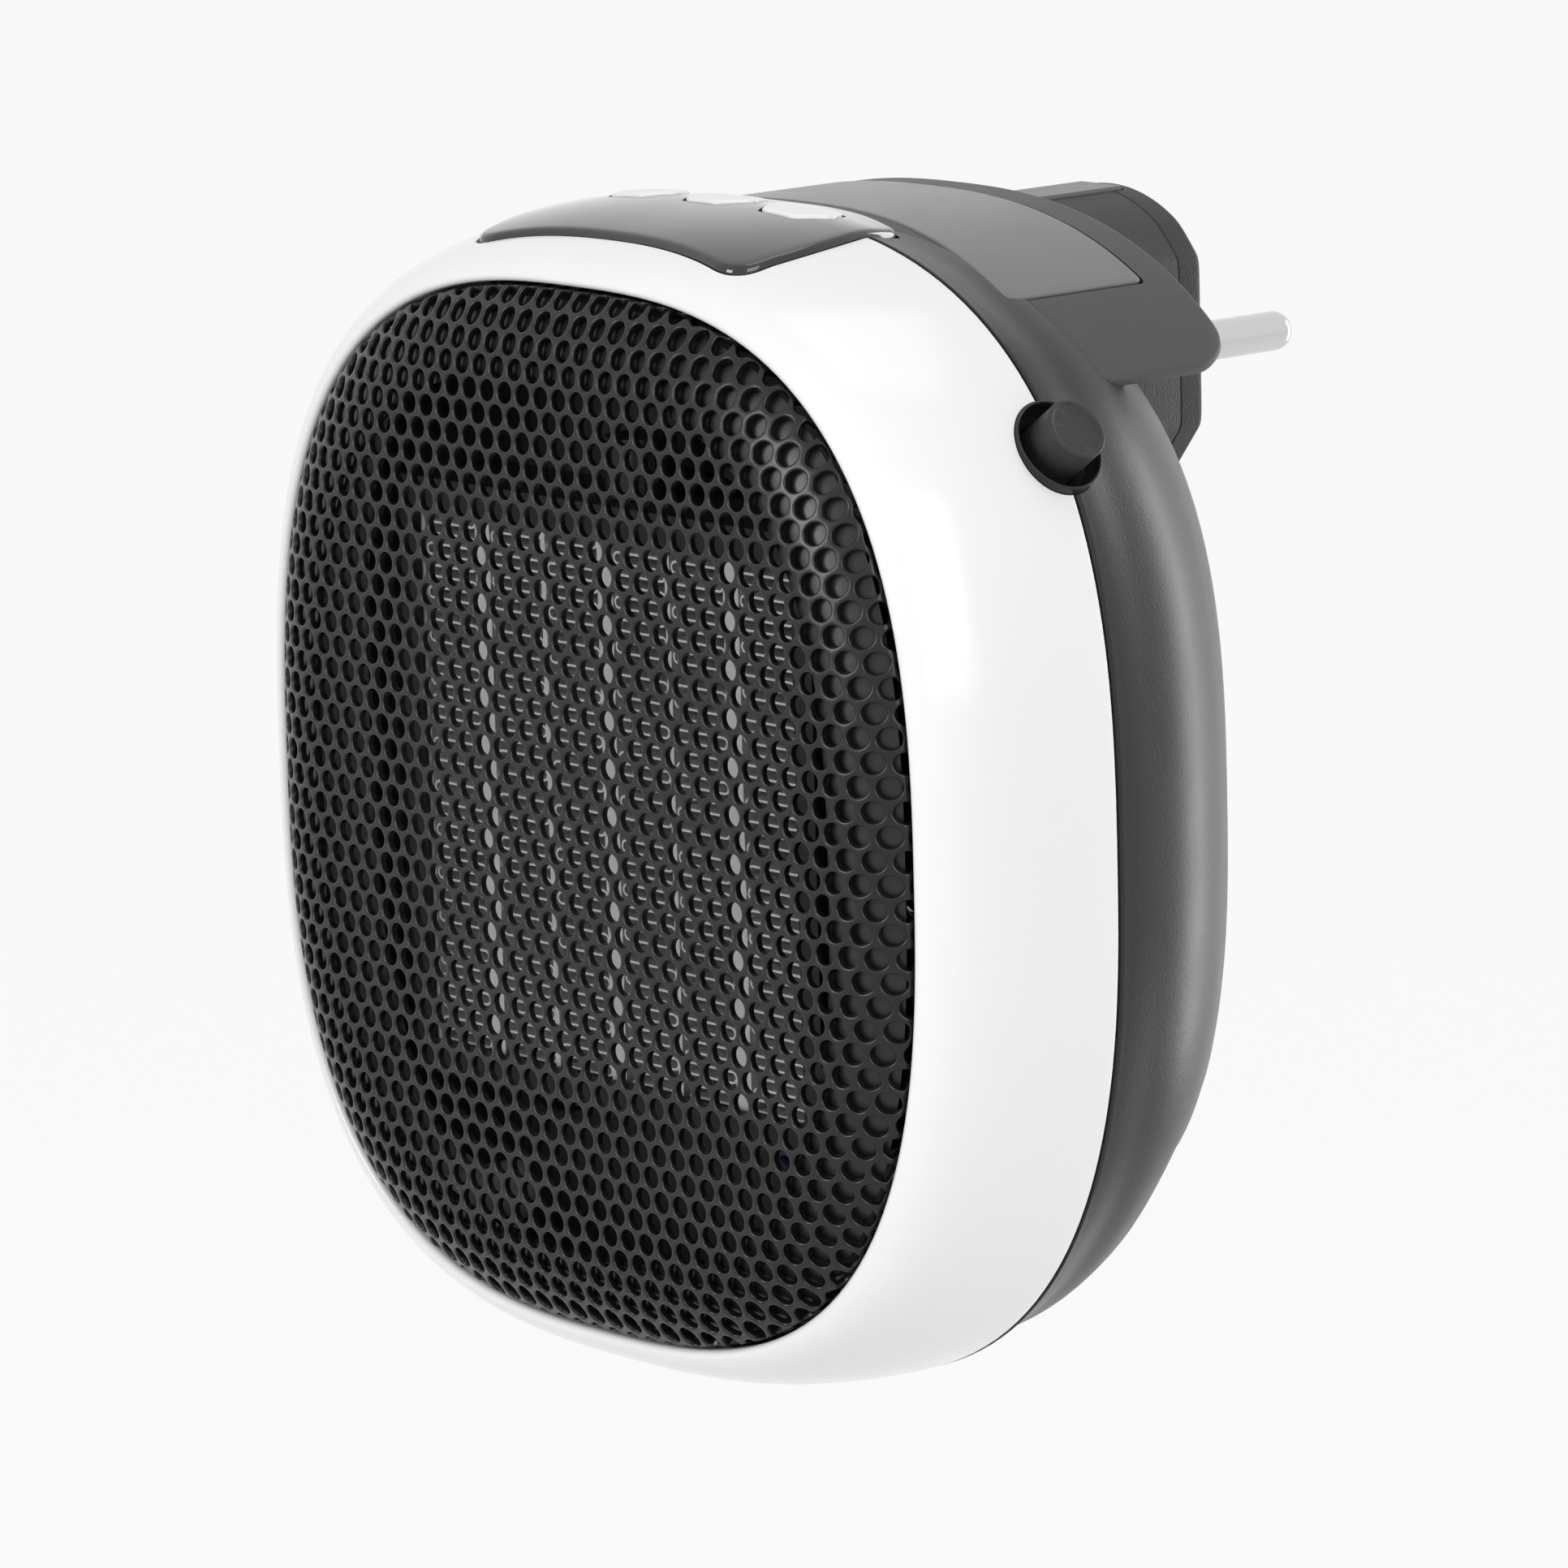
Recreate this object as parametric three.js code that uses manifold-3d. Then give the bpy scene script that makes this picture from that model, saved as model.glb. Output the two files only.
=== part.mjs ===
// A fan heater that hangs on a wall socket by its own plug. A white front shell holds a domed grille,
// a grey rear shell carries a visor over the plug, and between them a fan blows through a heating core.
// Millimetres, +Z up. The grille faces -Y, the pins point to +Y and X = 0 is the plane of symmetry.
// The pieces are built about the middle of the grille, and the finished group is then moved so that
// the origin lies on the plug's face, between the pins.
import * as THREE from 'three';
import { mergeVertices } from 'three/addons/utils/BufferGeometryUtils.js';
import Module from 'manifold-3d';

const wasm = await Module();
wasm.setup();

// Clearances
const gap = 0.3;
const overrun = 2;

// Outline of the shells: half sizes at the seam and at the grille opening, and their places along Y
const seamHalfX = 63.7;
const seamHalfZ = 68.5;
const rimWidthX = 7.7;
const rimWidthZ = 7;
const openingHalfX = seamHalfX - rimWidthX;
const openingHalfZ = seamHalfZ - rimWidthZ;
const frontY = 5.4;
const lipDepth = 2.6;
const seamY = 30;
const shoulderY = 53;
const rearY = 69;
const shoulderInset = 12;
const deckInset = 17;
const insetZShare = 0.8;
const shellWall = 2;
const frontSquareness = 2.73;
const rearSquareness = 2.62;
const deckSquareness = 2.8;
const ringSteps = 48;

// Grille
const grilleSheet = 0.9;
const grilleCrown = 1.7;
const grilleRoll = 4.3;
const grilleRollWidth = 14;
const grilleRimClearance = 0.4;
const grilleFlange = 1;
const holePitch = 12;
const holeDiameter = 9;
const holeMargin = 6;

// Plug
const plugFaceY = 91.7;
const plugFaceDepth = 4;
const plugRadius = 19.1;
const plugHeadroom = 3.7;
const plugAxisZ = seamHalfZ - plugHeadroom - plugRadius;
const plugFlatDepth = 4.2;
const plugFlatHalf = plugRadius - plugFlatDepth;
const plugCollarStep = 2.1;
const plugTailStep = 1;
const plugNeckRadius = plugRadius - plugCollarStep;
const plugTailRadius = plugNeckRadius - plugTailStep;
const plugTailY = 44.6;
const plugFlatY = 62;
const sleeveY = 47.8;
const sleeveEndY = 58;
const sleeveWall = 2;
const collarEndY = 67.2;
const retainerDepth = 2.2;
const retainerOverlap = 1.2;
const retainerRadius = plugNeckRadius + retainerOverlap;
const pinSpacing = 19;
const pinDiameter = 4.8;
const pinLength = 19;
const pinRootLength = 12;
const pinCollarDiameter = 7.4;
const pinCollarHeight = 1.4;
const clipWidth = 7;
const clipSheet = 0.8;
const clipStandOff = 0.1;
const clipLength = 15;
const clipLegLength = 3;
const clipEndGap = 2.4;

// Visor over the plug, and the label strip let into it
const visorInsetX = 2.7;
const visorInsetZ = 1;
const visorHalfX = seamHalfX - visorInsetX;
const visorHalfZ = seamHalfZ - visorInsetZ;
const visorSquareness = 2.5;
const visorSideInset = 16.9;
const visorReach = seamHalfX - visorSideInset;
const visorY = 37.5;
const visorEndY = 66.4;
const visorThickness = 2.6;
const visorCorner = 5.5;
const labelSideInset = 10.2;
const labelReach = visorReach - labelSideInset;
const labelY = 39.3;
const labelFrontBulge = 2.3;
const labelEndY = 61;
const labelThickness = 0.8;
const labelProud = 0.15;

// Control panel, keys and control board
const panelFrontHalf = 24.4;
const panelSideHalf = 26.6;
const panelRearHalf = 22;
const panelFrontY = 10.6;
const panelFrontSag = 1.6;
const panelRearY = 36.4;
const panelRearBulge = 3.8;
const panelCorner = 4.2;
const panelProud = 0.8;
const panelSunk = 0.9;
const panelLedge = 2.4;
const keySpacing = 13.3;
const keyY = 29.6;
const keyLength = 10.8;
const keyWidth = 7.8;
const keyNose = 2.6;
const keyProud = 0.6;
const keyTravel = 0.5;
const keyFlange = 0.8;
const keyFlangeHeight = 0.8;
const keyStemDiameter = 2.4;
const boardDrop = 8.9;
const boardTopZ = seamHalfZ - boardDrop;
const boardThickness = 1.6;
const controlBoardHalf = 21.5;
const controlBoardY = 12.6;
const controlBoardEndY = 36;
const keySwitchSize = 6;
const keySwitchHeight = 3.4;
const displayLength = 16;
const displayWidth = 6;
const displayHeight = 3.6;
const displayY = 17;
const pegDiameter = 3;
const pegFrontX = 17;
const pegFrontY = 17;
const pegRearY = 34.2;

// Power button in its cup on the seam, part way round the outline: its axis leans upward
const buttonTurn = THREE.MathUtils.degToRad(35.1);
const buttonX = seamHalfX * Math.cos(buttonTurn) ** (2 / frontSquareness);
const buttonZ = seamHalfZ * Math.sin(buttonTurn) ** (2 / frontSquareness);
const buttonLean = THREE.MathUtils.degToRad(35.8);
const buttonDiameter = 7.5;
const buttonStandOff = 4;
const buttonTravel = 1.6;
const cupDiameter = 11.4;
const cupWall = 0.8;
const cupDepth = 5;
const cupRimHeight = 0.5;
const cupMouthWall = 0.5;
const dishDepth = 1.4;
const plungerDiameter = 3;
const switchWidth = 9;
const switchLength = 13;

// Heating core: bars and electrode plates stand side by side with a fin pack between each two
const coreFrontY = 9.6;
const coreDepth = 12;
const coreMarginX = 22.85;
const coreMarginZ = 28.5;
const coreHeight = 2 * (openingHalfZ - coreMarginZ);
const barThickness = 2.6;
const barCount = 3;
const plateThickness = 0.8;
const coreColumn = (openingHalfX - coreMarginX) / barCount;
const finPeriod = 2.6;
const finFold = 1.7;
const finClearance = 0.2;
const frameWall = 2.7;
const frameLip = 0.5;
const tabWidth = 5;
const tabHeight = 6;
const tabDepth = 0.5;

// Fan, motor and baffle
const baffleY = 22.7;
const baffleThickness = 2;
const fanMargin = 24.1;
const fanRadius = openingHalfZ - fanMargin;
const fanClearance = 1.2;
const ductWall = 2;
const ductEndY = 42;
const armThickness = 3;
const armWidth = 5;
const armCount = 3;
const motorRadius = 12;
const motorY = 41.6;
const motorLength = 19;
const motorRingWall = 2.2;
const shaftRadius = 1.2;
const shaftClearance = 0.3;
const hubRadius = 13;
const hubWall = 2;
const hubY = 27;
const hubLength = 11.2;
const bladeCount = 7;
const bladeY = 32.6;
const bladeSheet = 1.5;
const bladeRootChord = 13;
const bladeTipChord = 22;
const bladeRootPitch = THREE.MathUtils.degToRad(48);
const bladeTipPitch = THREE.MathUtils.degToRad(27);

// Fixings, power board and leads
const postTurn = THREE.MathUtils.degToRad(56.5);
const postInset = 0.4;
const postX = (openingHalfX - postInset) * Math.cos(postTurn) ** (2 / frontSquareness);
const postZ = (openingHalfZ - postInset) * Math.sin(postTurn) ** (2 / frontSquareness);
const postRadius = 3.8;
const rearPostRadius = 4.6;
const postY = 12;
const ribThickness = 2.4;
const pilotRadius = 1.3;
const screwRadius = 1.5;
const screwHeadRadius = 2.8;
const screwHeadHeight = 2;
const screwSeatY = 45;
const screwLength = 24;
const powerBoardLift = 12;
const powerBoardHalf = 26;
const powerBoardY = 27.5;
const powerBoardEndY = 48.5;
const relaySize = { x: 12, y: 15, z: 7 };
const capacitorSize = { x: 16, y: 7, z: 6.5 };
const relayX = -17;
const capacitorX = 16;
const cutoutRadius = 4.2;
const cutoutLength = 7;
const leadRadius = 1.1;
const leadLaneY = 38;
const leadBoardX = 24;
const leadBoardY = 45;

// Intake slots, in a round field between the plug sleeve and the lower edge of the rear face
const slotCount = 10;
const slotBridge = 3;
const slotSideMargin = 3.7;
const slotTopMargin = 5.3;
const slotBottomMargin = 10.3;
const slotHeightShare = 0.48;
const slotRoundShare = 1.15;

// Materials
function finish(color, roughness, metalness) {
  return new THREE.MeshStandardMaterial({ color, roughness, metalness });
}
const whiteGloss = finish(0xf2f2f2, 0.15, 0);
const greySatin = finish(0x3b3b3d, 0.45, 0);
const blackGloss = finish(0x101012, 0.08, 0);
const blackMatt = finish(0x1b1b1c, 0.7, 0);
const blackSheet = finish(0x161617, 0.4, 0.5);
const keyWhite = finish(0xd9d9d8, 0.35, 0);
const labelGrey = finish(0x6d6d6f, 0.3, 0);
const nickel = finish(0xd8d6d0, 0.2, 1);
const aluminium = finish(0xc6c8ca, 0.3, 1);
const steel = finish(0x8a8d90, 0.35, 1);
const boardGreen = finish(0x1f5a36, 0.6, 0);
const relayBlue = finish(0x2a4a8a, 0.5, 0);
const leadBrown = finish(0x5a3420, 0.6, 0);
const leadBlue = finish(0x23408c, 0.6, 0);

const heater = new THREE.Group();
heater.position.set(0, -plugFaceY, -plugAxisZ);

function addPiece(name, geometry, material) {
  const mesh = new THREE.Mesh(geometry, material);
  mesh.name = name;
  heater.add(mesh);
}

// Closed geometry and booleans

function signedVolume(geometry) {
  const position = geometry.getAttribute('position');
  const index = geometry.getIndex();
  const corners = [new THREE.Vector3(), new THREE.Vector3(), new THREE.Vector3()];
  let sum = 0;
  for (let i = 0; i < index.count; i += 3) {
    corners.forEach((corner, k) => corner.fromBufferAttribute(position, index.getX(i + k)));
    sum += corners[0].dot(corners[1].cross(corners[2]));
  }
  return sum;
}

function closed(source) {
  const bare = source.clone();
  bare.deleteAttribute('normal');
  bare.deleteAttribute('uv');
  const geometry = mergeVertices(bare);
  const index = Array.from(geometry.getIndex().array);
  const kept = [];
  for (let i = 0; i < index.length; i += 3) {
    const [a, b, c] = index.slice(i, i + 3);
    if (a !== b && b !== c && c !== a) kept.push(a, b, c);
  }
  geometry.setIndex(kept);
  if (signedVolume(geometry) < 0) {
    for (let i = 0; i < kept.length; i += 3) [kept[i], kept[i + 1]] = [kept[i + 1], kept[i]];
    geometry.setIndex(kept);
  }
  return geometry;
}

function solid(source) {
  const geometry = closed(source);
  const vertProperties = new Float32Array(geometry.getAttribute('position').array);
  const triVerts = new Uint32Array(geometry.getIndex().array);
  return new wasm.Manifold(new wasm.Mesh({ numProp: 3, vertProperties, triVerts }));
}

function geometryOf(manifold) {
  const mesh = manifold.getMesh();
  const geometry = new THREE.BufferGeometry();
  geometry.setAttribute('position', new THREE.BufferAttribute(new Float32Array(mesh.vertProperties), 3));
  geometry.setIndex(Array.from(mesh.triVerts));
  return geometry;
}

function join(first, ...others) {
  return geometryOf(others.reduce((sum, other) => sum.add(solid(other)), solid(first)));
}

function cut(body, ...tools) {
  return geometryOf(tools.reduce((rest, tool) => rest.subtract(solid(tool)), solid(body)));
}

function common(first, second) {
  return geometryOf(solid(first).intersect(solid(second)));
}

// Basic solids, placed by where they begin and end

function box(fromX, toX, fromY, toY, fromZ, toZ) {
  const geometry = new THREE.BoxGeometry(toX - fromX, toY - fromY, toZ - fromZ);
  return geometry.translate((fromX + toX) / 2, (fromY + toY) / 2, (fromZ + toZ) / 2);
}

function rodY(radius, fromY, toY, x = 0, z = 0, sides = 24) {
  const geometry = new THREE.CylinderGeometry(radius, radius, toY - fromY, sides);
  return geometry.translate(x, (fromY + toY) / 2, z);
}

function rodZ(radius, fromZ, toZ, x = 0, y = 0, sides = 16) {
  const geometry = new THREE.CylinderGeometry(radius, radius, toZ - fromZ, sides);
  return geometry.rotateX(Math.PI / 2).translate(x, y, (fromZ + toZ) / 2);
}

function prism(shape, depth) {
  return new THREE.ExtrudeGeometry(shape, { depth, bevelEnabled: false, curveSegments: 6 });
}

function prismY(shape, fromY, toY) {
  return prism(shape, toY - fromY).rotateX(Math.PI / 2).translate(0, toY, 0);
}

function prismZ(shape, fromZ, toZ) {
  return prism(shape, toZ - fromZ).translate(0, 0, fromZ);
}

function turnedY(profile, sides = 40) {
  const points = profile.map(([radius, y]) => new THREE.Vector2(radius, y));
  return new THREE.LatheGeometry(points, sides);
}

function shapeOf(points) {
  return new THREE.Shape(points.map(([x, y]) => new THREE.Vector2(x, y)));
}

// Rounded-square rings and the bodies lofted through them

function squircle(halfX, halfZ, squareness, y, steps = ringSteps) {
  const power = (value) => Math.sign(value) * Math.abs(value) ** (2 / squareness);
  return Array.from({ length: steps }, (_, k) => {
    const angle = (2 * Math.PI * k) / steps;
    return new THREE.Vector3(halfX * power(Math.cos(angle)), y, halfZ * power(Math.sin(angle)));
  });
}

function squircleHeight(x, halfX, halfZ, squareness) {
  const share = Math.min(Math.abs(x) / halfX, 1);
  return halfZ * (1 - share ** squareness) ** (1 / squareness);
}

function loft(rings, isLoop) {
  const count = rings[0].length;
  const points = rings.flat();
  const index = [];
  const bands = isLoop ? rings.length : rings.length - 1;
  for (let band = 0; band < bands; band += 1) {
    const near = band * count;
    const far = ((band + 1) % rings.length) * count;
    for (let k = 0; k < count; k += 1) {
      const next = (k + 1) % count;
      index.push(near + k, near + next, far + next, near + k, far + next, far + k);
    }
  }
  if (!isLoop) {
    const addCap = (ring, start, turned) => {
      const centre = ring.reduce((sum, point) => sum.add(point), new THREE.Vector3()).divideScalar(count);
      points.push(centre);
      for (let k = 0; k < count; k += 1) {
        const pair = [start + k, start + ((k + 1) % count)];
        if (turned) pair.reverse();
        index.push(points.length - 1, ...pair);
      }
    };
    addCap(rings[0], 0, true);
    addCap(rings.at(-1), (rings.length - 1) * count, false);
  }
  const geometry = new THREE.BufferGeometry().setFromPoints(points);
  geometry.setIndex(index);
  return closed(geometry);
}

// The outer skin of the two shells: section half sizes and squareness at each place along Y

const mainShares = [[0, 0], [0.28, 0.11], [0.48, 0.17], [0.68, 0.31], [0.82, 0.46], [0.93, 0.68], [1, 1]];
const deckShares = [[0.05, 0.01], [0.25, 0.05], [0.5, 0.15], [0.7, 0.35], [0.87, 0.61], [1, 1]];
const rearProfile = [
  ...mainShares.map(([run, rise]) => ({
    y: seamY + run * (shoulderY - seamY),
    inset: rise * shoulderInset,
  })),
  ...deckShares.map(([run, rise]) => ({
    y: shoulderY + run * (rearY - shoulderY),
    inset: shoulderInset + rise * deckInset,
  })),
];

function frontSection(y) {
  const run = THREE.MathUtils.clamp((y - frontY) / (seamY - frontY), 0, 1);
  const growth = Math.sqrt(1 - (1 - run) ** 2);
  return {
    halfX: openingHalfX + (seamHalfX - openingHalfX) * growth,
    halfZ: openingHalfZ + (seamHalfZ - openingHalfZ) * growth,
    squareness: frontSquareness,
  };
}

function rearSection(y) {
  const after = Math.max(rearProfile.findIndex((point) => point.y >= y), 1);
  const low = rearProfile[after - 1];
  const high = rearProfile[after];
  const inset = THREE.MathUtils.mapLinear(y, low.y, high.y, low.inset, high.inset);
  const blend = THREE.MathUtils.smoothstep(y, seamY, visorY);
  const mainSquareness = THREE.MathUtils.lerp(frontSquareness, rearSquareness, blend);
  return {
    halfX: seamHalfX - inset,
    halfZ: seamHalfZ - insetZShare * inset,
    squareness: y > shoulderY ? deckSquareness : mainSquareness,
  };
}

function sectionRing(section, y, wall = 0) {
  return squircle(section.halfX - wall, section.halfZ - wall, section.squareness, y);
}

function skinHeight(x, y) {
  const section = y < seamY ? frontSection(y) : rearSection(y);
  return squircleHeight(x, section.halfX, section.halfZ, section.squareness);
}

function visorHeight(x) {
  return squircleHeight(x, visorHalfX, visorHalfZ, visorSquareness);
}

const powerBoardTopZ = powerBoardLift - skinHeight(powerBoardHalf, powerBoardEndY);

// A curved plate over a rectangle in plan: its top and bottom are heights given by functions of x and y

const slabStepsX = 20;
const slabStepsY = 6;

function curvedSlab(halfX, fromY, toY, topAt, bottomAt, stepsX = slabStepsX, stepsY = slabStepsY) {
  const points = [];
  const index = [];
  const row = stepsX + 1;
  const sheet = row * (stepsY + 1);
  [topAt, bottomAt].forEach((heightAt) => {
    for (let j = 0; j <= stepsY; j += 1) {
      for (let i = 0; i <= stepsX; i += 1) {
        const x = THREE.MathUtils.lerp(-halfX, halfX, i / stepsX);
        const y = THREE.MathUtils.lerp(fromY, toY, j / stepsY);
        points.push(new THREE.Vector3(x, y, heightAt(x, y)));
      }
    }
  });
  const quad = (a, b, c, d) => index.push(a, b, c, a, c, d);
  for (let j = 0; j < stepsY; j += 1) {
    for (let i = 0; i < stepsX; i += 1) {
      const a = j * row + i;
      quad(a, a + 1, a + 1 + row, a + row);
      quad(sheet + a, sheet + a + row, sheet + a + 1 + row, sheet + a + 1);
    }
  }
  for (let i = 0; i < stepsX; i += 1) {
    const far = stepsY * row + i;
    quad(i, sheet + i, sheet + i + 1, i + 1);
    quad(far, far + 1, sheet + far + 1, sheet + far);
  }
  for (let j = 0; j < stepsY; j += 1) {
    const near = j * row;
    const far = near + stepsX;
    quad(near, near + row, sheet + near + row, sheet + near);
    quad(far, sheet + far, sheet + far + row, far + row);
  }
  const geometry = new THREE.BufferGeometry().setFromPoints(points);
  geometry.setIndex(index);
  return closed(geometry);
}

// Control panel outline in plan, grown or shrunk by a margin

function panelOutline(margin) {
  const frontHalf = panelFrontHalf + margin;
  const sideHalf = panelSideHalf + margin;
  const rearHalf = panelRearHalf + margin;
  const frontEdge = panelFrontY - margin;
  const rearEdge = panelRearY + margin;
  const sideY = (frontEdge + rearEdge) / 2;
  const shape = new THREE.Shape();
  shape.moveTo(rearHalf, rearEdge);
  shape.quadraticCurveTo(0, rearEdge + 2 * panelRearBulge, -rearHalf, rearEdge);
  shape.quadraticCurveTo(-sideHalf, sideY, -frontHalf, frontEdge + panelCorner);
  shape.quadraticCurveTo(-frontHalf, frontEdge, -frontHalf + panelCorner, frontEdge);
  shape.quadraticCurveTo(0, frontEdge + 2 * panelFrontSag, frontHalf - panelCorner, frontEdge);
  shape.quadraticCurveTo(frontHalf, frontEdge, frontHalf, frontEdge + panelCorner);
  shape.quadraticCurveTo(sideHalf, sideY, rearHalf, rearEdge);
  return shape;
}

const aboveAllZ = seamHalfZ + overrun;
const panelPlanHalf = panelSideHalf + overrun;
const panelPlanEndY = panelRearY + panelRearBulge + overrun;
const panelTop = (x, y) => skinHeight(x, y) + panelProud;
const panelBottom = (x, y) => skinHeight(x, y) - panelSunk;

function panelPocket() {
  const block = curvedSlab(panelPlanHalf, panelFrontY - overrun, panelPlanEndY,
    () => aboveAllZ, (x, y) => panelBottom(x, y) - gap);
  const pocket = common(block, prismZ(panelOutline(gap), 0, aboveAllZ + overrun));
  return join(pocket, prismZ(panelOutline(-panelLedge), boardTopZ, aboveAllZ));
}

// Power button frame: turns and moves a solid built along +Y so that it points out along the button axis

function onButtonAxis(geometry) {
  return geometry.rotateZ(-Math.PI / 2).rotateY(-buttonLean).translate(buttonX, seamY, buttonZ);
}

const buttonRadius = buttonDiameter / 2;
const cupRadius = cupDiameter / 2;
const cupHole = () => onButtonAxis(rodY(cupRadius + gap, -cupDepth - overrun, cupDepth, 0, 0, 28));

// Front shell with its lip, four screw posts and the ribs that carry them

const postSigns = [[1, 1], [-1, 1], [-1, -1], [1, -1]];
const lipRearY = frontY + lipDepth;
const seamFaceY = seamY - gap / 2;

function postRibs(signX, signZ, fromY, toY) {
  const half = ribThickness / 2;
  const upright = box(postX - half, postX + half, fromY, toY, postZ, seamHalfZ);
  const level = box(postX, seamHalfX, fromY, toY, postZ - half, postZ + half);
  return join(upright, level).scale(signX, 1, signZ);
}

const outerRunShares = [0.01, 0.04, 0.1, 0.2, 0.36, 0.6, 1];
const innerRunShares = [1, 0.6, 0.36, 0.2];

function frontShell() {
  const ringAt = (share, wall) => {
    const y = frontY + share * (seamFaceY - frontY);
    return sectionRing(frontSection(y), y, wall);
  };
  const lip = { halfX: openingHalfX, halfZ: openingHalfZ, squareness: frontSquareness };
  const rings = [
    sectionRing(lip, lipRearY),
    sectionRing(lip, frontY + shellWall / 4),
    ...outerRunShares.map((share) => ringAt(share, 0)),
    ...innerRunShares.map((share) => ringAt(share, shellWall)),
    sectionRing(frontSection(lipRearY), lipRearY, shellWall),
  ];
  let body = loft(rings, true);
  const inside = loft(innerRunShares.map((share) => ringAt(share, shellWall / 2)), false);
  for (const [signX, signZ] of postSigns) {
    const x = signX * postX;
    const z = signZ * postZ;
    const post = rodY(postRadius, postY, seamFaceY, x, z, 12);
    const ribs = common(postRibs(signX, signZ, postY, baffleY - gap), inside);
    const pilot = rodY(pilotRadius + gap, postY + shellWall, seamY + overrun, x, z, 10);
    body = cut(join(body, post, ribs), pilot);
  }
  return cut(body, panelPocket(), cupHole());
}

// Rear shell: main shell, raised deck with intake slots, visor, plug sleeve, screw seats and board ribs

const seamRearFaceY = seamY + gap / 2;

// The rear skin's rings, moved inwards by a depth along the profile's own normal
function rearRings(depth, stride = 1) {
  const last = rearProfile.length - 1;
  return rearProfile.map((point, i) => {
    const before = rearProfile[Math.max(i - 1, 0)];
    const after = rearProfile[Math.min(i + 1, last)];
    const run = after.y - before.y;
    const rise = after.inset - before.inset;
    const slant = Math.hypot(run, rise);
    const inward = i === last ? 0 : depth * (i === 0 ? 1 : run / slant);
    const forward = i === 0 ? 0 : depth * (i === last ? 1 : rise / slant);
    const y = (i === 0 ? seamRearFaceY : point.y) - forward;
    const halfX = seamHalfX - point.inset - inward;
    const halfZ = seamHalfZ - insetZShare * point.inset - inward;
    return squircle(halfX, halfZ, rearSection(point.y).squareness, y);
  }).filter((_, i) => i % stride === 0);
}

function rearBody() {
  return loft([...rearRings(shellWall, 2).toReversed(), ...rearRings(0)], false);
}

function visorSheet() {
  const halfWidth = visorReach + overrun;
  const outline = (drop, steps) => Array.from({ length: steps + 1 }, (_, k) => {
    const x = THREE.MathUtils.lerp(-halfWidth, halfWidth, k / steps);
    return [x, visorHeight(x) - drop];
  });
  const under = outline(visorThickness, slabStepsX).reverse();
  const sheet = prismY(shapeOf([...outline(0, slabStepsX), ...under]), visorY, visorEndY + overrun);
  const plan = new THREE.Shape();
  plan.moveTo(-visorReach, visorY - overrun);
  plan.lineTo(-visorReach, visorEndY - visorCorner);
  plan.quadraticCurveTo(-visorReach, visorEndY, visorCorner - visorReach, visorEndY);
  plan.lineTo(visorReach - visorCorner, visorEndY);
  plan.quadraticCurveTo(visorReach, visorEndY, visorReach, visorEndY - visorCorner);
  plan.lineTo(visorReach, visorY - overrun);
  return common(sheet, prismZ(plan, visorHeight(visorReach), aboveAllZ));
}

function labelSlab(margin, depth) {
  const lift = margin > 0 ? overrun : labelProud;
  const reach = labelReach + margin;
  const frontEdge = labelY - margin;
  const rearEdge = labelEndY + margin;
  const slab = curvedSlab(reach + overrun, frontEdge - overrun, rearEdge + overrun,
    (x) => visorHeight(x) + lift, (x) => visorHeight(x) - depth, slabStepsX, 1);
  const outline = new THREE.Shape();
  outline.moveTo(reach, rearEdge);
  outline.lineTo(-reach, rearEdge);
  outline.lineTo(-reach, frontEdge);
  outline.quadraticCurveTo(0, frontEdge + 2 * labelFrontBulge, reach, frontEdge);
  return common(slab, prismZ(outline, 0, aboveAllZ + overrun));
}

const sleeveBore = plugNeckRadius + gap;
const collarBore = plugRadius + gap;
const sleeveRadius = collarBore + sleeveWall;
const rearFaceInset = shoulderInset + deckInset;
const slotHalfX = seamHalfX - rearFaceInset - slotSideMargin;
const slotTopZ = plugAxisZ - sleeveRadius - slotTopMargin;
const slotBottomZ = slotBottomMargin + insetZShare * rearFaceInset - seamHalfZ;

function intakeSlots() {
  const slots = [];
  const middleZ = (slotTopZ + slotBottomZ) / 2;
  const slotPitch = (slotTopZ - slotBottomZ) / slotCount;
  const slotHeight = slotPitch * slotHeightShare;
  const slotHalfZ = (slotTopZ - middleZ) * slotRoundShare;
  for (let k = 0; k < slotCount; k += 1) {
    const rise = (k - (slotCount - 1) / 2) * slotPitch;
    const z = middleZ + rise;
    const reach = slotHalfX * Math.sqrt(1 - (rise / slotHalfZ) ** 2);
    for (const side of [-1, 1]) {
      const near = side * (slotBridge / 2);
      const far = side * reach;
      slots.push(box(Math.min(near, far), Math.max(near, far),
        rearY - shellWall - overrun, rearY + overrun, z - slotHeight / 2, z + slotHeight / 2));
    }
  }
  return slots;
}

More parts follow.
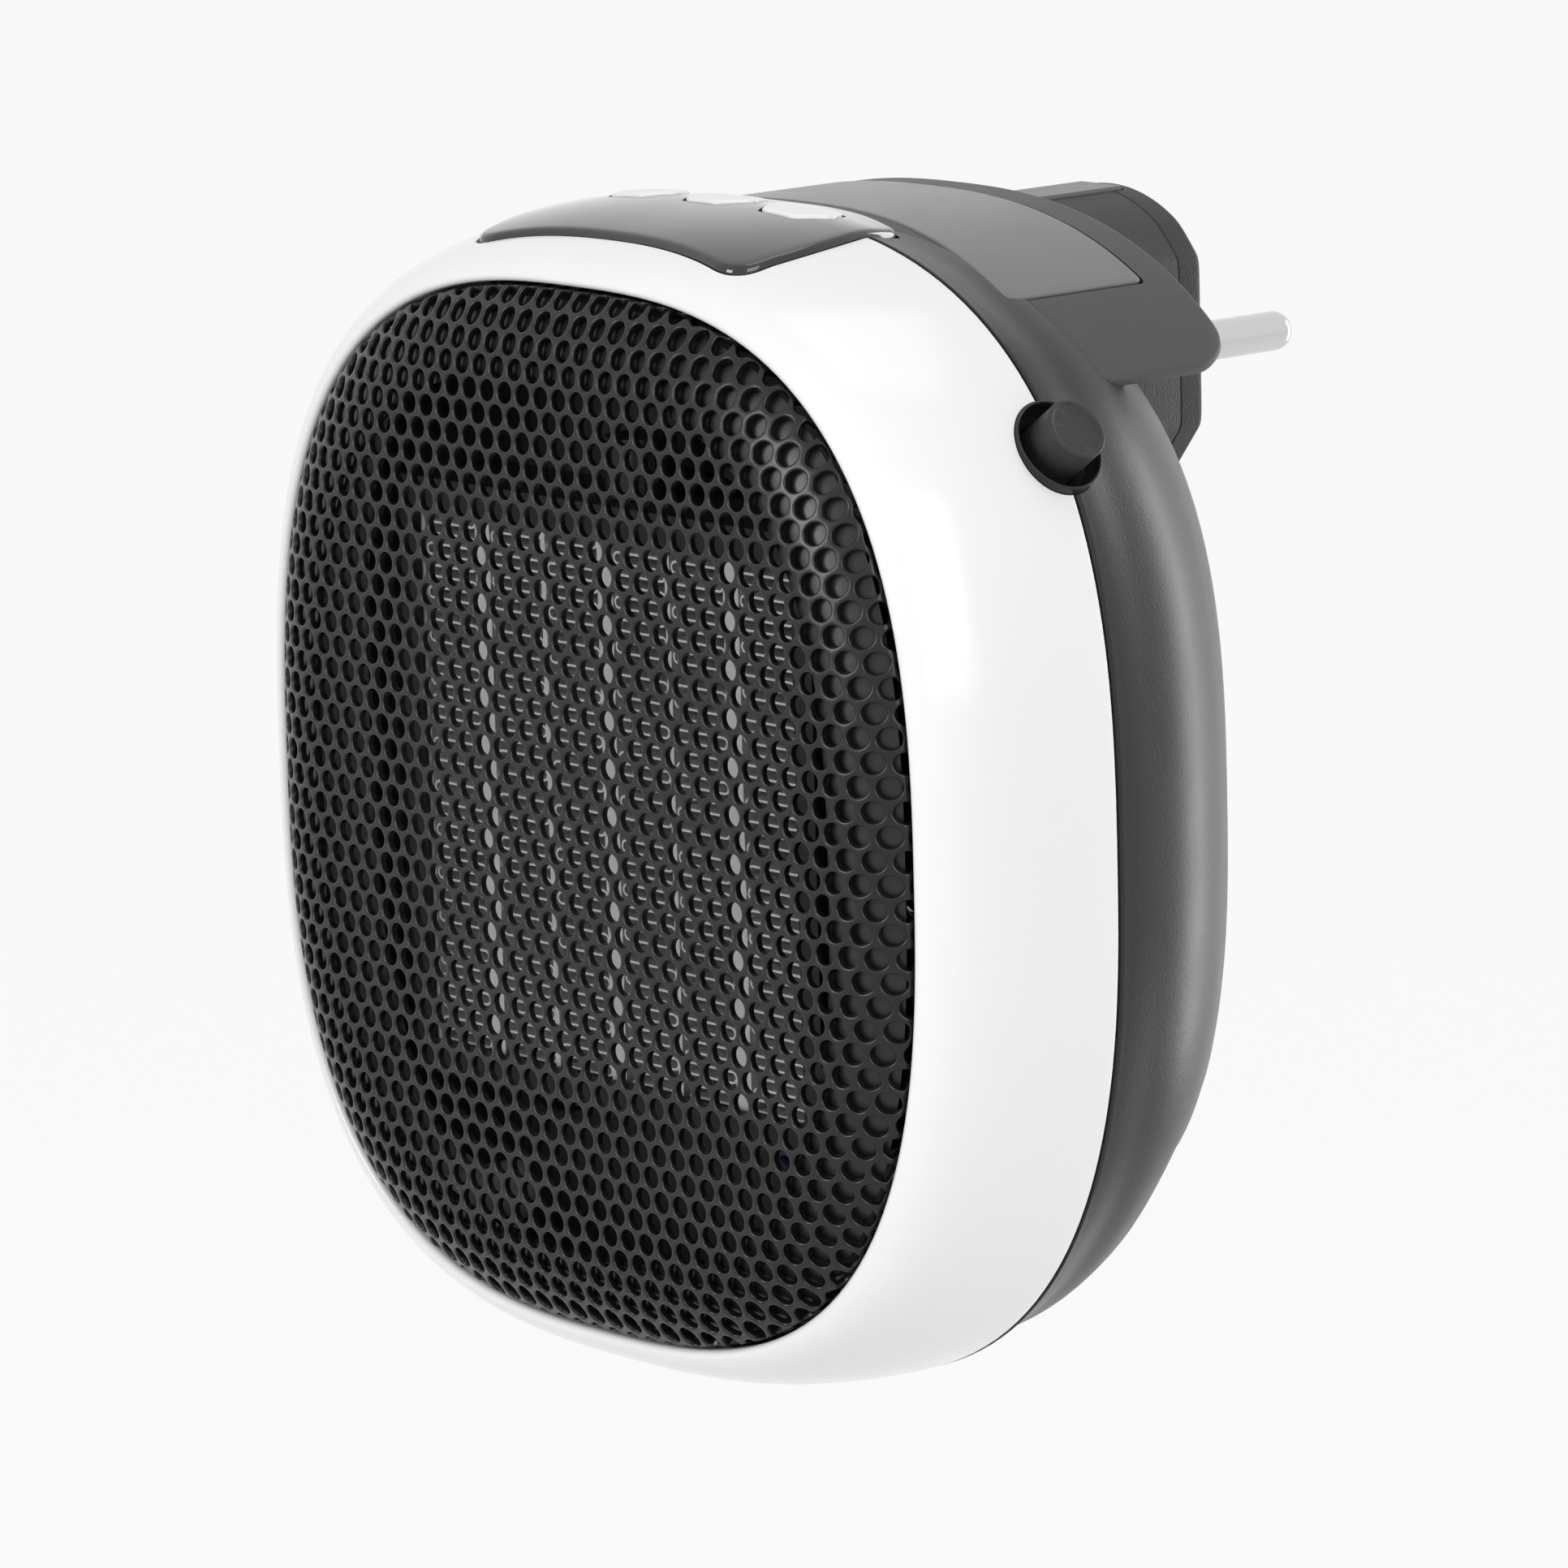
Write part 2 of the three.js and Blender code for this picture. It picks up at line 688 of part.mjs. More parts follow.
function rearShell() {
  const sleeve = rodY(sleeveRadius, plugTailY, collarEndY, 0, plugAxisZ, 40);
  let body = join(rearBody(), visorSheet(), sleeve);
  body = cut(body,
    rodY(retainerRadius + gap, plugTailY - overrun, sleeveY, 0, plugAxisZ, 40),
    rodY(sleeveBore, sleeveY - overrun, sleeveEndY + overrun, 0, plugAxisZ, 40),
    rodY(collarBore, sleeveEndY, rearY + overrun, 0, plugAxisZ, 40));
  const inside = loft(rearRings(shellWall / 2, 2), false);
  for (const [signX, signZ] of postSigns) {
    const x = signX * postX;
    const z = signZ * postZ;
    const post = common(rodY(rearPostRadius, seamRearFaceY, rearY, x, z, 12), inside);
    const bore = rodY(screwRadius + gap, seamY - overrun, screwSeatY + overrun, x, z, 10);
    const well = rodY(screwHeadRadius + gap, screwSeatY, rearY, x, z, 12);
    body = cut(join(body, post), bore, well);
  }
  const ribTopZ = powerBoardTopZ - boardThickness - gap;
  for (const side of [-1, 1]) {
    const ribX = side * (powerBoardHalf - ribThickness * 2);
    const rib = box(ribX - ribThickness / 2, ribX + ribThickness / 2, seamY + ribThickness,
      powerBoardEndY - ribThickness, -seamHalfZ, ribTopZ);
    body = join(body, common(rib, inside));
  }
  return cut(body, panelPocket(), labelSlab(gap, labelThickness + gap), cupHole(), ...intakeSlots());
}

// Front grille: a domed sheet with a rolled rim, a skirt through the lip and a flange behind it

const rollShares = [1, 0.6, 0.3, 0.07];

function grilleDepth(inset) {
  const crown = grilleCrown * (1 - inset / openingHalfX) ** 2;
  const roll = grilleRoll * Math.max(1 - inset / grilleRollWidth, 0) ** 3;
  return crown + roll;
}

function frontGrille() {
  const ring = (inset, y) => squircle(openingHalfX - inset, openingHalfZ - inset, frontSquareness, y);
  const rim = grilleRimClearance;
  const outerInsets = rollShares.map((share) => share * grilleRollWidth);
  const innerInsets = outerInsets.slice(0, -2).toReversed();
  const flangeY = lipRearY + gap;
  const rings = [
    ring(openingHalfX / 2, grilleDepth(openingHalfX / 2)),
    ...outerInsets.map((inset) => ring(inset, grilleDepth(inset))),
    ring(rim, grilleDepth(rim) + grilleSheet / 3),
    ring(rim, flangeY),
    ring(-grilleFlange, flangeY),
    ring(-grilleFlange, flangeY + grilleSheet),
    ring(rim + grilleSheet, flangeY + grilleSheet),
    ...innerInsets.map((inset) => ring(inset + grilleSheet / 2, grilleDepth(inset) + grilleSheet)),
    ring(openingHalfX / 2, grilleDepth(openingHalfX / 2) + grilleSheet),
  ];
  const sheet = loft(rings, false);
  const holeRadius = holeDiameter / 2;
  const rowPitch = holePitch * Math.sqrt(3) / 2;
  const rows = Math.floor(openingHalfZ / rowPitch);
  const holes = [];
  for (let j = -rows; j <= rows; j += 1) {
    const shift = j % 2 === 0 ? 0 : holePitch / 2;
    const z = j * rowPitch;
    const endZ = openingHalfZ - holeMargin;
    const endX = squircleHeight(z, endZ, openingHalfX - holeMargin, frontSquareness);
    const reach = Math.ceil(openingHalfX / holePitch);
    for (let i = -reach; i <= reach; i += 1) {
      const x = i * holePitch + shift;
      if (Math.abs(z) + holeRadius < endZ && Math.abs(x) + holeRadius < endX) {
        holes.push(rodY(holeRadius, -overrun, lipRearY, x, z, 6));
      }
    }
  }
  const drill = holes.map(solid);
  return geometryOf(solid(sheet).subtract(wasm.Manifold.union(drill)));
}

// Control panel with its key holes and the pegs that carry the control board

function keyOutline(margin) {
  const halfLength = keyLength / 2 + margin;
  const halfWidth = keyWidth / 2 + margin;
  const nose = halfLength - keyNose;
  return shapeOf([[halfLength, 0], [nose, halfWidth], [-nose, halfWidth],
    [-halfLength, 0], [-nose, -halfWidth], [nose, -halfWidth]]);
}

const keySpots = [['key_left', -keySpacing], ['key_middle', 0], ['key_right', keySpacing]];

function controlPanel() {
  const slab = curvedSlab(panelPlanHalf, panelFrontY - overrun, panelPlanEndY, panelTop, panelBottom);
  let body = common(slab, prismZ(panelOutline(0), 0, aboveAllZ + overrun));
  for (const [, x] of keySpots) {
    body = cut(body, prismZ(keyOutline(gap), boardTopZ, aboveAllZ + overrun).translate(x, keyY, 0));
  }
  for (const side of [-1, 1]) {
    for (const [x, y] of [[side * pegFrontX, pegFrontY], [side * keySpacing / 2, pegRearY]]) {
      body = join(body, rodZ(pegDiameter / 2, boardTopZ + gap, skinHeight(x, y), x, y, 10));
    }
  }
  return body;
}

function key(x) {
  const reachX = Math.abs(x) + keyLength / 2 + keyFlange;
  const reachY = keyWidth / 2 + keyFlange;
  const lowest = Math.min(panelBottom(reachX, keyY - reachY), panelBottom(reachX, keyY + reachY));
  const flangeTop = lowest - gap;
  const flangeBottom = flangeTop - keyFlangeHeight;
  const stemEnd = boardTopZ + keySwitchHeight + gap + keyTravel;
  const slab = curvedSlab(panelPlanHalf, keyY - keyWidth, keyY + keyWidth,
    (px, py) => panelTop(px, py) + keyProud, () => flangeBottom + keyFlangeHeight / 2, slabStepsX, 2);
  const cap = common(slab, prismZ(keyOutline(0), boardTopZ, aboveAllZ + overrun).translate(x, keyY, 0));
  const flange = prismZ(keyOutline(keyFlange), flangeBottom, flangeTop).translate(x, keyY, 0);
  const stem = rodZ(keyStemDiameter / 2, stemEnd, flangeTop, x, keyY, 10);
  return join(cap, flange, stem);
}

// Plug: barrel, face with two collars, pins, earth contact strips and the retainer ring

const plugFlats = (fromY, toY) => [-1, 1].map((side) => {
  const near = side * plugFlatHalf;
  const far = side * (plugRadius + overrun);
  return box(Math.min(near, far), Math.max(near, far), fromY, toY, plugAxisZ - plugRadius - overrun,
    plugAxisZ + plugRadius + overrun);
});
const pinX = pinSpacing / 2;
const pinRadius = pinDiameter / 2;
const plugFaceFrontY = plugFaceY - plugFaceDepth;
const barrelEndY = plugFaceFrontY - gap;
const clipY = plugFaceY - clipEndGap - clipLength;
const clipTopRadius = plugRadius + clipStandOff;

// A contact strip lies along the barrel and its two ends turn in towards the axis
function clipStrip(side, margin) {
  const half = clipWidth / 2 + margin;
  const endY = clipY + clipLength;
  const outer = clipTopRadius + margin;
  const inner = clipTopRadius - clipSheet - margin;
  const leg = clipTopRadius - clipSheet - clipLegLength - margin;
  const strip = box(-half, half, clipY - margin, endY + margin, inner, outer);
  const frontLeg = box(-half, half, clipY - margin, clipY + clipSheet + margin, leg, outer);
  const rearLeg = box(-half, half, endY - clipSheet - margin, endY + margin, leg, outer);
  return closed(join(strip, frontLeg, rearLeg).scale(1, 1, side).translate(0, 0, plugAxisZ));
}

const clipPockets = () => [-1, 1].map((side) => clipStrip(side, gap));

function pinPockets(depth) {
  const fromY = plugFaceY - depth;
  const toY = plugFaceY + overrun * 2;
  return [-1, 1].map((side) => rodY(pinRadius + gap, fromY, toY, side * pinX, plugAxisZ, 20));
}

function plugBarrel() {
  const profile = [[0, plugTailY], [plugTailRadius, plugTailY], [plugTailRadius, sleeveY],
    [plugNeckRadius, sleeveY], [plugNeckRadius, sleeveEndY + gap], [plugRadius, sleeveEndY + gap],
    [plugRadius, barrelEndY], [0, barrelEndY]];
  const body = turnedY(profile).translate(0, 0, plugAxisZ);
  const flats = plugFlats(plugFlatY, plugFaceY + overrun);
  return cut(body, ...flats, ...clipPockets(), ...pinPockets(pinRootLength + gap));
}

function plugFace() {
  const chamfer = plugFaceDepth / 5;
  const profile = [[0, plugFaceFrontY], [plugRadius, plugFaceFrontY], [plugRadius, plugFaceY - chamfer],
    [plugRadius - chamfer, plugFaceY], [0, plugFaceY]];
  const flats = plugFlats(plugFlatY, plugFaceY + overrun);
  const disc = cut(turnedY(profile).translate(0, 0, plugAxisZ), ...flats);
  const collarRadius = pinCollarDiameter / 2;
  const collarTopY = plugFaceY + pinCollarHeight;
  const collarAt = (side) => rodY(collarRadius, plugFaceY - chamfer, collarTopY, side * pinX, plugAxisZ, 20);
  return cut(join(disc, collarAt(-1), collarAt(1)), ...clipPockets(), ...pinPockets(plugFaceDepth + overrun));
}

function pin(side) {
  const rootY = plugFaceY - pinRootLength;
  const tipY = plugFaceY + pinLength - pinRadius;
  const tip = [Math.PI / 6, Math.PI / 3].map((turn) => [
    pinRadius * Math.cos(turn),
    tipY + pinRadius * Math.sin(turn),
  ]);
  const profile = [[0, rootY], [pinRadius, rootY], [pinRadius, tipY], ...tip, [0, tipY + pinRadius]];
  return turnedY(profile, 20).translate(side * pinX, 0, plugAxisZ);
}

function retainerRing() {
  const endY = sleeveY - gap;
  const startY = endY - retainerDepth;
  const ring = rodY(retainerRadius, startY, endY, 0, plugAxisZ, 32);
  return cut(ring, rodY(plugTailRadius + gap, startY - overrun, endY + overrun, 0, plugAxisZ, 32));
}

// Power button, its cup and the switch behind it, all turned about the button axis

const dishShares = [[1, 0], [0.75, 0.55], [0.4, 0.85], [0, 1]];

function switchCup() {
  const hole = plungerDiameter / 2 + gap;
  const bore = buttonRadius + gap;
  const mouth = cupRadius - cupMouthWall;
  const dish = dishShares.map(([across, down]) => [
    THREE.MathUtils.lerp(bore, mouth, across),
    THREE.MathUtils.lerp(cupRimHeight, -dishDepth, down),
  ]);
  const profile = [[hole, -cupDepth], [cupRadius, -cupDepth], [cupRadius, cupRimHeight], ...dish,
    [bore, -cupDepth + cupWall], [hole, -cupDepth + cupWall], [hole, -cupDepth]];
  return onButtonAxis(turnedY(profile, 28));
}

function powerButton() {
  const plungerEnd = -cupDepth;
  const foot = plungerEnd + cupWall + gap + buttonTravel;
  const dome = buttonRadius / 8;
  const profile = [[0, plungerEnd], [plungerDiameter / 2, plungerEnd], [plungerDiameter / 2, foot],
    [buttonRadius, foot], [buttonRadius, buttonStandOff - dome], [buttonRadius - dome, buttonStandOff],
    [0, buttonStandOff]];
  return onButtonAxis(turnedY(profile, 28));
}

function switchBody() {
  const top = -cupDepth - gap;
  const half = switchWidth / 2;
  const body = box(-half, half, top - switchLength, top, -half, half);
  const well = rodY(plungerDiameter / 2 + gap, top - buttonTravel - gap * 2, top + overrun, 0, 0, 12);
  return onButtonAxis(cut(body, well));
}

// Heating core

const coreHalfZ = coreHeight / 2;
const coreRearY = coreFrontY + coreDepth;
const columnCount = barCount * 2;
const stackHalfX = coreColumn * barCount + plateThickness / 2;

function upright(x, thickness) {
  return box(x - thickness / 2, x + thickness / 2, coreFrontY, coreRearY, -coreHalfZ, coreHalfZ);
}

function finPack(column) {
  const centreX = (column - (columnCount - 1) / 2) * coreColumn;
  const half = (coreColumn - (barThickness + plateThickness) / 2) / 2 - finClearance;
  const leansToBar = column % 2 === 0 ? 1 : -1;
  const offset = leansToBar * (plateThickness - barThickness) / 4;
  const turns = Math.floor(coreHeight / (finPeriod / 2)) - 1;
  const leg = finPeriod / 2;
  const right = [];
  const left = [];
  for (let k = 0; k <= turns; k += 1) {
    const z = (k - turns / 2) * leg;
    const isRight = k % 2 === 0;
    right.push([isRight ? half : finFold - half, z]);
    left.push([isRight ? half - finFold : -half, z]);
  }
  const outline = [...right, ...left.reverse()];
  return prismY(shapeOf(outline), coreFrontY + finClearance, coreRearY - finClearance)
    .translate(centreX + offset, 0, 0);
}

const frameInnerX = stackHalfX + gap;
const frameInnerZ = coreHalfZ + gap;
const frameOuterX = frameInnerX + frameWall;
const frameOuterZ = frameInnerZ + frameWall;
const heaterLeadX = coreColumn * 2;
const heaterLeadZ = -frameOuterZ - leadRadius * 4;
const frameFrontY = coreFrontY - gap - frameLip;

function coreFrame() {
  const endY = baffleY - gap;
  const boreY = frameFrontY + frameLip;
  const windowX = frameInnerX - frameLip;
  const windowZ = coreHalfZ - frameLip * 2;
  const block = box(-frameOuterX, frameOuterX, frameFrontY, endY, -frameOuterZ, frameOuterZ);
  const bore = box(-frameInnerX, frameInnerX, boreY, endY + overrun, -frameInnerZ, frameInnerZ);
  const window = box(-windowX, windowX, frameFrontY - overrun, endY, -windowZ, windowZ);
  return cut(block, bore, window);
}

function terminalTab(x) {
  const startY = coreRearY + gap;
  const topZ = coreHalfZ - frameLip;
  return box(x - tabWidth / 2, x + tabWidth / 2, startY, startY + tabDepth, topZ - tabHeight, topZ);
}

function thermalCutout() {
  const z = frameOuterZ + gap;
  return rodZ(cutoutRadius, z, z + cutoutLength, 0, (coreFrontY + coreRearY) / 2, 20);
}

// Fan shroud: a baffle across the shells, a round duct and the ring that holds the motor

const ductBore = fanRadius + fanClearance;
const motorRingRadius = motorRadius + gap + motorRingWall;
const motorRingEndY = plugTailY - gap;
const baffleEndY = baffleY + baffleThickness;

function fanShroud() {
  const section = frontSection(baffleY);
  const rim = squircle(section.halfX - shellWall - gap, section.halfZ - shellWall - gap, frontSquareness, 0);
  const plate = prismY(shapeOf(rim.map((point) => [point.x, point.z])), baffleY, baffleEndY);
  const duct = rodY(ductBore + ductWall, baffleY, ductEndY, 0, 0, 36);
  const bore = rodY(ductBore, baffleY - overrun, ductEndY + overrun, 0, 0, 36);
  let body = cut(join(plate, duct), bore);
  const ring = rodY(motorRingRadius, ductEndY - armThickness, motorRingEndY, 0, 0, 32);
  const armReach = ductBore + ductWall / 2;
  const armStartY = ductEndY - armThickness;
  for (let k = 0; k < armCount; k += 1) {
    const angle = (2 * Math.PI * k) / armCount + Math.PI / 6;
    const arm = box(0, armReach, armStartY, ductEndY, -armWidth / 2, armWidth / 2);
    body = join(body, arm.rotateY(angle));
  }
  const motorHole = rodY(motorRadius + gap, armStartY - overrun, motorRingEndY + overrun, 0, 0, 32);
  body = cut(join(body, ring), motorHole);
  const fromY = baffleY - overrun;
  const toY = baffleEndY + overrun;
  for (const [signX, signZ] of postSigns) {
    body = cut(body, rodY(postRadius + gap, fromY, toY, signX * postX, signZ * postZ, 16));
  }
  const notchX = controlBoardHalf + gap;
  const notch = box(-notchX, notchX, fromY, toY, boardTopZ - boardThickness - gap, seamHalfZ);
  const leadHoleAt = (side) => rodY(leadRadius + gap, fromY, toY, side * heaterLeadX, heaterLeadZ, 12);
  return cut(body, notch, cupHole(), leadHoleAt(-1), leadHoleAt(1));
}

const bladeShares = [0, 0.5, 1];
const bladeCorners = [[-1, -1], [1, -1], [1, 1], [-1, 1]];

function impeller() {
  const endY = hubY + hubLength;
  const shell = hubRadius - hubWall;
  const boss = shaftRadius * 3;
  const profile = [[0, hubY], [shell, hubY], [hubRadius, hubY + hubWall], [hubRadius, endY], [shell, endY],
    [shell, hubY + hubWall], [boss, hubY + hubWall], [boss, endY - hubWall], [0, endY - hubWall]];
  let body = turnedY(profile, 28);
  for (let k = 0; k < bladeCount; k += 1) {
    const rings = bladeShares.map((share) => {
      const radius = THREE.MathUtils.lerp(shell + hubWall / 2, fanRadius, share);
      const chord = THREE.MathUtils.lerp(bladeRootChord, bladeTipChord, share);
      const pitch = THREE.MathUtils.lerp(bladeRootPitch, bladeTipPitch, share);
      return bladeCorners.map(([along, across]) => {
        const u = (along * chord) / 2;
        const v = (across * bladeSheet) / 2;
        const span = Math.sqrt(Math.max(radius ** 2 - (u * Math.cos(pitch)) ** 2, 0));
        return new THREE.Vector3(span, bladeY + u * Math.sin(pitch) + v * Math.cos(pitch),
          u * Math.cos(pitch) - v * Math.sin(pitch));
      });
    });
    body = join(body, loft(rings, false).rotateY((2 * Math.PI * k) / bladeCount));
  }
  return cut(body, rodY(shaftRadius + shaftClearance, hubY + hubWall * 2, endY + overrun, 0, 0, 16));
}

function motorShaft() {
  return rodY(shaftRadius, hubY + hubWall * 2 + gap, motorY + motorLength / 2, 0, 0, 16);
}

function motorBody() {
  const endY = motorY + motorLength;
  const boss = motorRadius / 3;
  const profile = [[0, motorY], [motorRadius, motorY], [motorRadius, endY],
    [boss, endY], [boss, endY + boss / 2], [0, endY + boss / 2]];
  const boreEndY = motorY + motorLength / 2 + gap;
  return cut(turnedY(profile, 32), rodY(shaftRadius + shaftClearance, motorY - overrun, boreEndY, 0, 0, 16));
}

// Boards and what sits on them

function controlBoard() {
  const half = controlBoardHalf;
  return box(-half, half, controlBoardY, controlBoardEndY, boardTopZ - boardThickness, boardTopZ);
}

function keySwitch(x) {
  const half = keySwitchSize / 2;
  const startZ = boardTopZ + gap;
  return box(x - half, x + half, keyY - half, keyY + half, startZ, boardTopZ + keySwitchHeight);
}

function displayModule() {
  const halfX = displayLength / 2;
  const halfY = displayWidth / 2;
  return box(-halfX, halfX, displayY - halfY, displayY + halfY, boardTopZ + gap, boardTopZ + displayHeight);
}

function powerBoard() {
  const startZ = powerBoardTopZ - boardThickness;
  return box(-powerBoardHalf, powerBoardHalf, powerBoardY, powerBoardEndY, startZ, powerBoardTopZ);
}

function onPowerBoard(size, x) {
  const y = (powerBoardY + powerBoardEndY) / 2;
  const startZ = powerBoardTopZ + gap;
  return box(x - size.x / 2, x + size.x / 2, y - size.y / 2, y + size.y / 2, startZ, startZ + size.z);
}

// Screws and leads

function caseScrew(signX, signZ) {
  const tipY = screwSeatY + gap - screwLength;
  const headY = screwSeatY + gap;
  const headEndY = headY + screwHeadHeight;
  const slotY = headY + screwHeadHeight / 2;
  const slotHalf = screwRadius / 4;
  const profile = [[0, tipY], [screwRadius / 2, tipY], [screwRadius, tipY + screwRadius], [screwRadius, headY],
    [screwHeadRadius, headY], [screwHeadRadius, slotY], [screwHeadRadius - slotHalf * 2, headEndY],
    [0, headEndY]];
  const slot = box(-screwHeadRadius, screwHeadRadius, slotY, headEndY + overrun, -slotHalf, slotHalf);
  return cut(turnedY(profile, 12), slot).translate(signX * postX, 0, signZ * postZ);
}

function lead(points) {
  const circle = new THREE.Shape();
  circle.absarc(0, 0, leadRadius, 0, Math.PI * 2);
  const extrudePath = new THREE.CatmullRomCurve3(points.map(([x, y, z]) => new THREE.Vector3(x, y, z)));
  return new THREE.ExtrudeGeometry(circle, { steps: 12, extrudePath, bevelEnabled: false, curveSegments: 3 });
}

const leadTurns = [50, 20, -10, -40].map((degrees) => THREE.MathUtils.degToRad(degrees));

// From the plug's tail round the duct and down to the board
function plugLead(side) {
  const startX = plugTailRadius / 2;
  const startY = plugTailY - gap;
  const startZ = plugAxisZ + plugTailRadius / 4;
  const lane = ductBore + ductWall + leadRadius * 4;
  const around = leadTurns.map((turn) => [side * lane * Math.cos(turn), leadLaneY, lane * Math.sin(turn)]);
  const endZ = powerBoardTopZ + gap;
  return lead([[side * startX, startY, startZ], [side * startX, startY - leadRadius * 3, startZ], ...around,
    [side * leadBoardX, leadBoardY, endZ + leadRadius * 3], [side * leadBoardX, leadBoardY, endZ]]);
}

// From the board through the baffle to the underside of the core frame
function heaterLead(side) {
  const x = side * heaterLeadX;
  const boardZ = powerBoardTopZ + gap;
  const boardY = powerBoardY + leadRadius + gap;
  const coreY = (coreFrontY + coreRearY) / 2;
  const coreZ = -frameOuterZ - gap;
  return lead([[x, boardY, boardZ], [x, boardY, boardZ + leadRadius * 2], [x, baffleEndY, heaterLeadZ],
    [x, baffleY, heaterLeadZ], [x, coreY, coreZ - leadRadius * 2], [x, coreY, coreZ]]);
}

addPiece('front_shell', frontShell(), whiteGloss);
addPiece('front_grille', frontGrille(), blackSheet);
addPiece('rear_shell', rearShell(), greySatin);
addPiece('label_strip', labelSlab(0, labelThickness), labelGrey);

addPiece('control_panel', controlPanel(), blackGloss);
for (const [name, x] of keySpots) {
  addPiece(name, key(x), keyWhite);
  addPiece(name.replace('key', 'key_switch'), keySwitch(x), blackMatt);
}
addPiece('control_board', controlBoard(), boardGreen);
addPiece('display_module', displayModule(), blackGloss);

addPiece('switch_cup', switchCup(), greySatin);
addPiece('power_button', powerButton(), blackMatt);
addPiece('switch_body', switchBody(), blackMatt);

addPiece('core_frame', coreFrame(), blackMatt);
for (let k = 0; k < barCount; k += 1) {
  const x = (k - (barCount - 1) / 2) * coreColumn * 2;
  addPiece(`heater_bar_${k + 1}`, upright(x, barThickness), aluminium);
  addPiece(`terminal_${k + 1}`, terminalTab(x), steel);
}
for (let k = 0; k < columnCount; k += 1) addPiece(`fin_pack_${k + 1}`, finPack(k), aluminium);
for (let k = 0; k < barCount - 1; k += 1) {
  addPiece(`divider_plate_${k + 1}`, upright((2 * k + 2 - barCount) * coreColumn, plateThickness), aluminium);
}
addPiece('end_plate_left', upright(-coreColumn * barCount, plateThickness), aluminium);
addPiece('end_plate_right', upright(coreColumn * barCount, plateThickness), aluminium);
addPiece('thermal_cutout', thermalCutout(), steel);

addPiece('fan_shroud', fanShroud(), blackMatt);
addPiece('fan_impeller', impeller(), blackMatt);
addPiece('motor_shaft', motorShaft(), steel);
addPiece('motor_body', motorBody(), steel);

addPiece('power_board', powerBoard(), boardGreen);
addPiece('relay', onPowerBoard(relaySize, relayX), relayBlue);
addPiece('capacitor', onPowerBoard(capacitorSize, capacitorX), blackGloss);

addPiece('plug_body', plugBarrel(), blackMatt);
addPiece('plug_face', plugFace(), blackMatt);
addPiece('plug_retainer', retainerRing(), steel);
addPiece('earth_clip_top', clipStrip(1, 0), nickel);
addPiece('earth_clip_bottom', clipStrip(-1, 0), nickel);

for (const [name, side, leadColour] of [['left', -1, leadBrown], ['right', 1, leadBlue]]) {
  addPiece(`pin_${name}`, pin(side), nickel);
  addPiece(`plug_lead_${name}`, plugLead(side), leadColour);
  addPiece(`heater_lead_${name}`, heaterLead(side), leadColour);
}
postSigns.forEach(([signX, signZ], k) => addPiece(`case_screw_${k + 1}`, caseScrew(signX, signZ), steel));

const model = new THREE.Group();
model.add(heater);

export default model;
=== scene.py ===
# A plug-in fan heater: its looks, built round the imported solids. Shapes are worked out in
# millimetres about the middle of the grille, and to_row() moves them into the frame, whose origin
# is the middle of the plug's face.
from math import acos, asin, cos, pi, radians, sin, sqrt, tan

import bmesh
import bpy
import numpy as np
from mathutils import Matrix, Vector
from mathutils.bvhtree import BVHTree
from mathutils.interpolate import poly_3d_calc


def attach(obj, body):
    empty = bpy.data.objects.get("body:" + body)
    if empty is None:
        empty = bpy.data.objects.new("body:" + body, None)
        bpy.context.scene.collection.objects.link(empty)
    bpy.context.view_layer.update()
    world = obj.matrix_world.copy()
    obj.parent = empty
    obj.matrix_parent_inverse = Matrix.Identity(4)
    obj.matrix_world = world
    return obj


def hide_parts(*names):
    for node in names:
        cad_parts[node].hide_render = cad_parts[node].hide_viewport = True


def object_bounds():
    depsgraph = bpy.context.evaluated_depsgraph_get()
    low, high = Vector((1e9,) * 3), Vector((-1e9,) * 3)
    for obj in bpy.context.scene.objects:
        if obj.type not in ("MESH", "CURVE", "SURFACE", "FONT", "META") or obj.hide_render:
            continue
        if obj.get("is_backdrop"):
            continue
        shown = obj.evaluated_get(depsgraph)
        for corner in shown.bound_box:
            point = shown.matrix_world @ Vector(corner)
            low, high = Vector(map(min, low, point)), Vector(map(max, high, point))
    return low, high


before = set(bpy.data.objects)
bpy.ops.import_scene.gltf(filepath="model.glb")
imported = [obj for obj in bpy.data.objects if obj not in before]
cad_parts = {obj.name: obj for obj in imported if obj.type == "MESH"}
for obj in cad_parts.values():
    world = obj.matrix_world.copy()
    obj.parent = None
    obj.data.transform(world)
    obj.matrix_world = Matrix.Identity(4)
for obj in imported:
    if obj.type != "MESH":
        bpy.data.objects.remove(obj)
CAD_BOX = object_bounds()

MM = 0.001
PLUG_FACE_Y, PLUG_Z = 91.7, 45.7
OFFSET = np.array([0.0, PLUG_FACE_Y, PLUG_Z])

# Half sizes of the grille's opening and of the seam, and the shells' places along y
OPEN_X, OPEN_Z = 56.0, 61.5
RIM_X, RIM_Z = 7.7, 7.0
SEAM_X, SEAM_Z = OPEN_X + RIM_X, OPEN_Z + RIM_Z
FRONT_Y, SEAM_Y, SHOULDER_Y, REAR_Y = 5.4, 30.0, 53.0, 69.0
VISOR_Y = 37.5
WALL, GAP, SEAM_GAP = 2.0, 0.3, 0.15

# Squareness of the outline at the front, behind the seam and round the deck
FRONT_N, REAR_N, DECK_N = 2.73, 2.62, 2.8
DECK_BLEND = 1.5

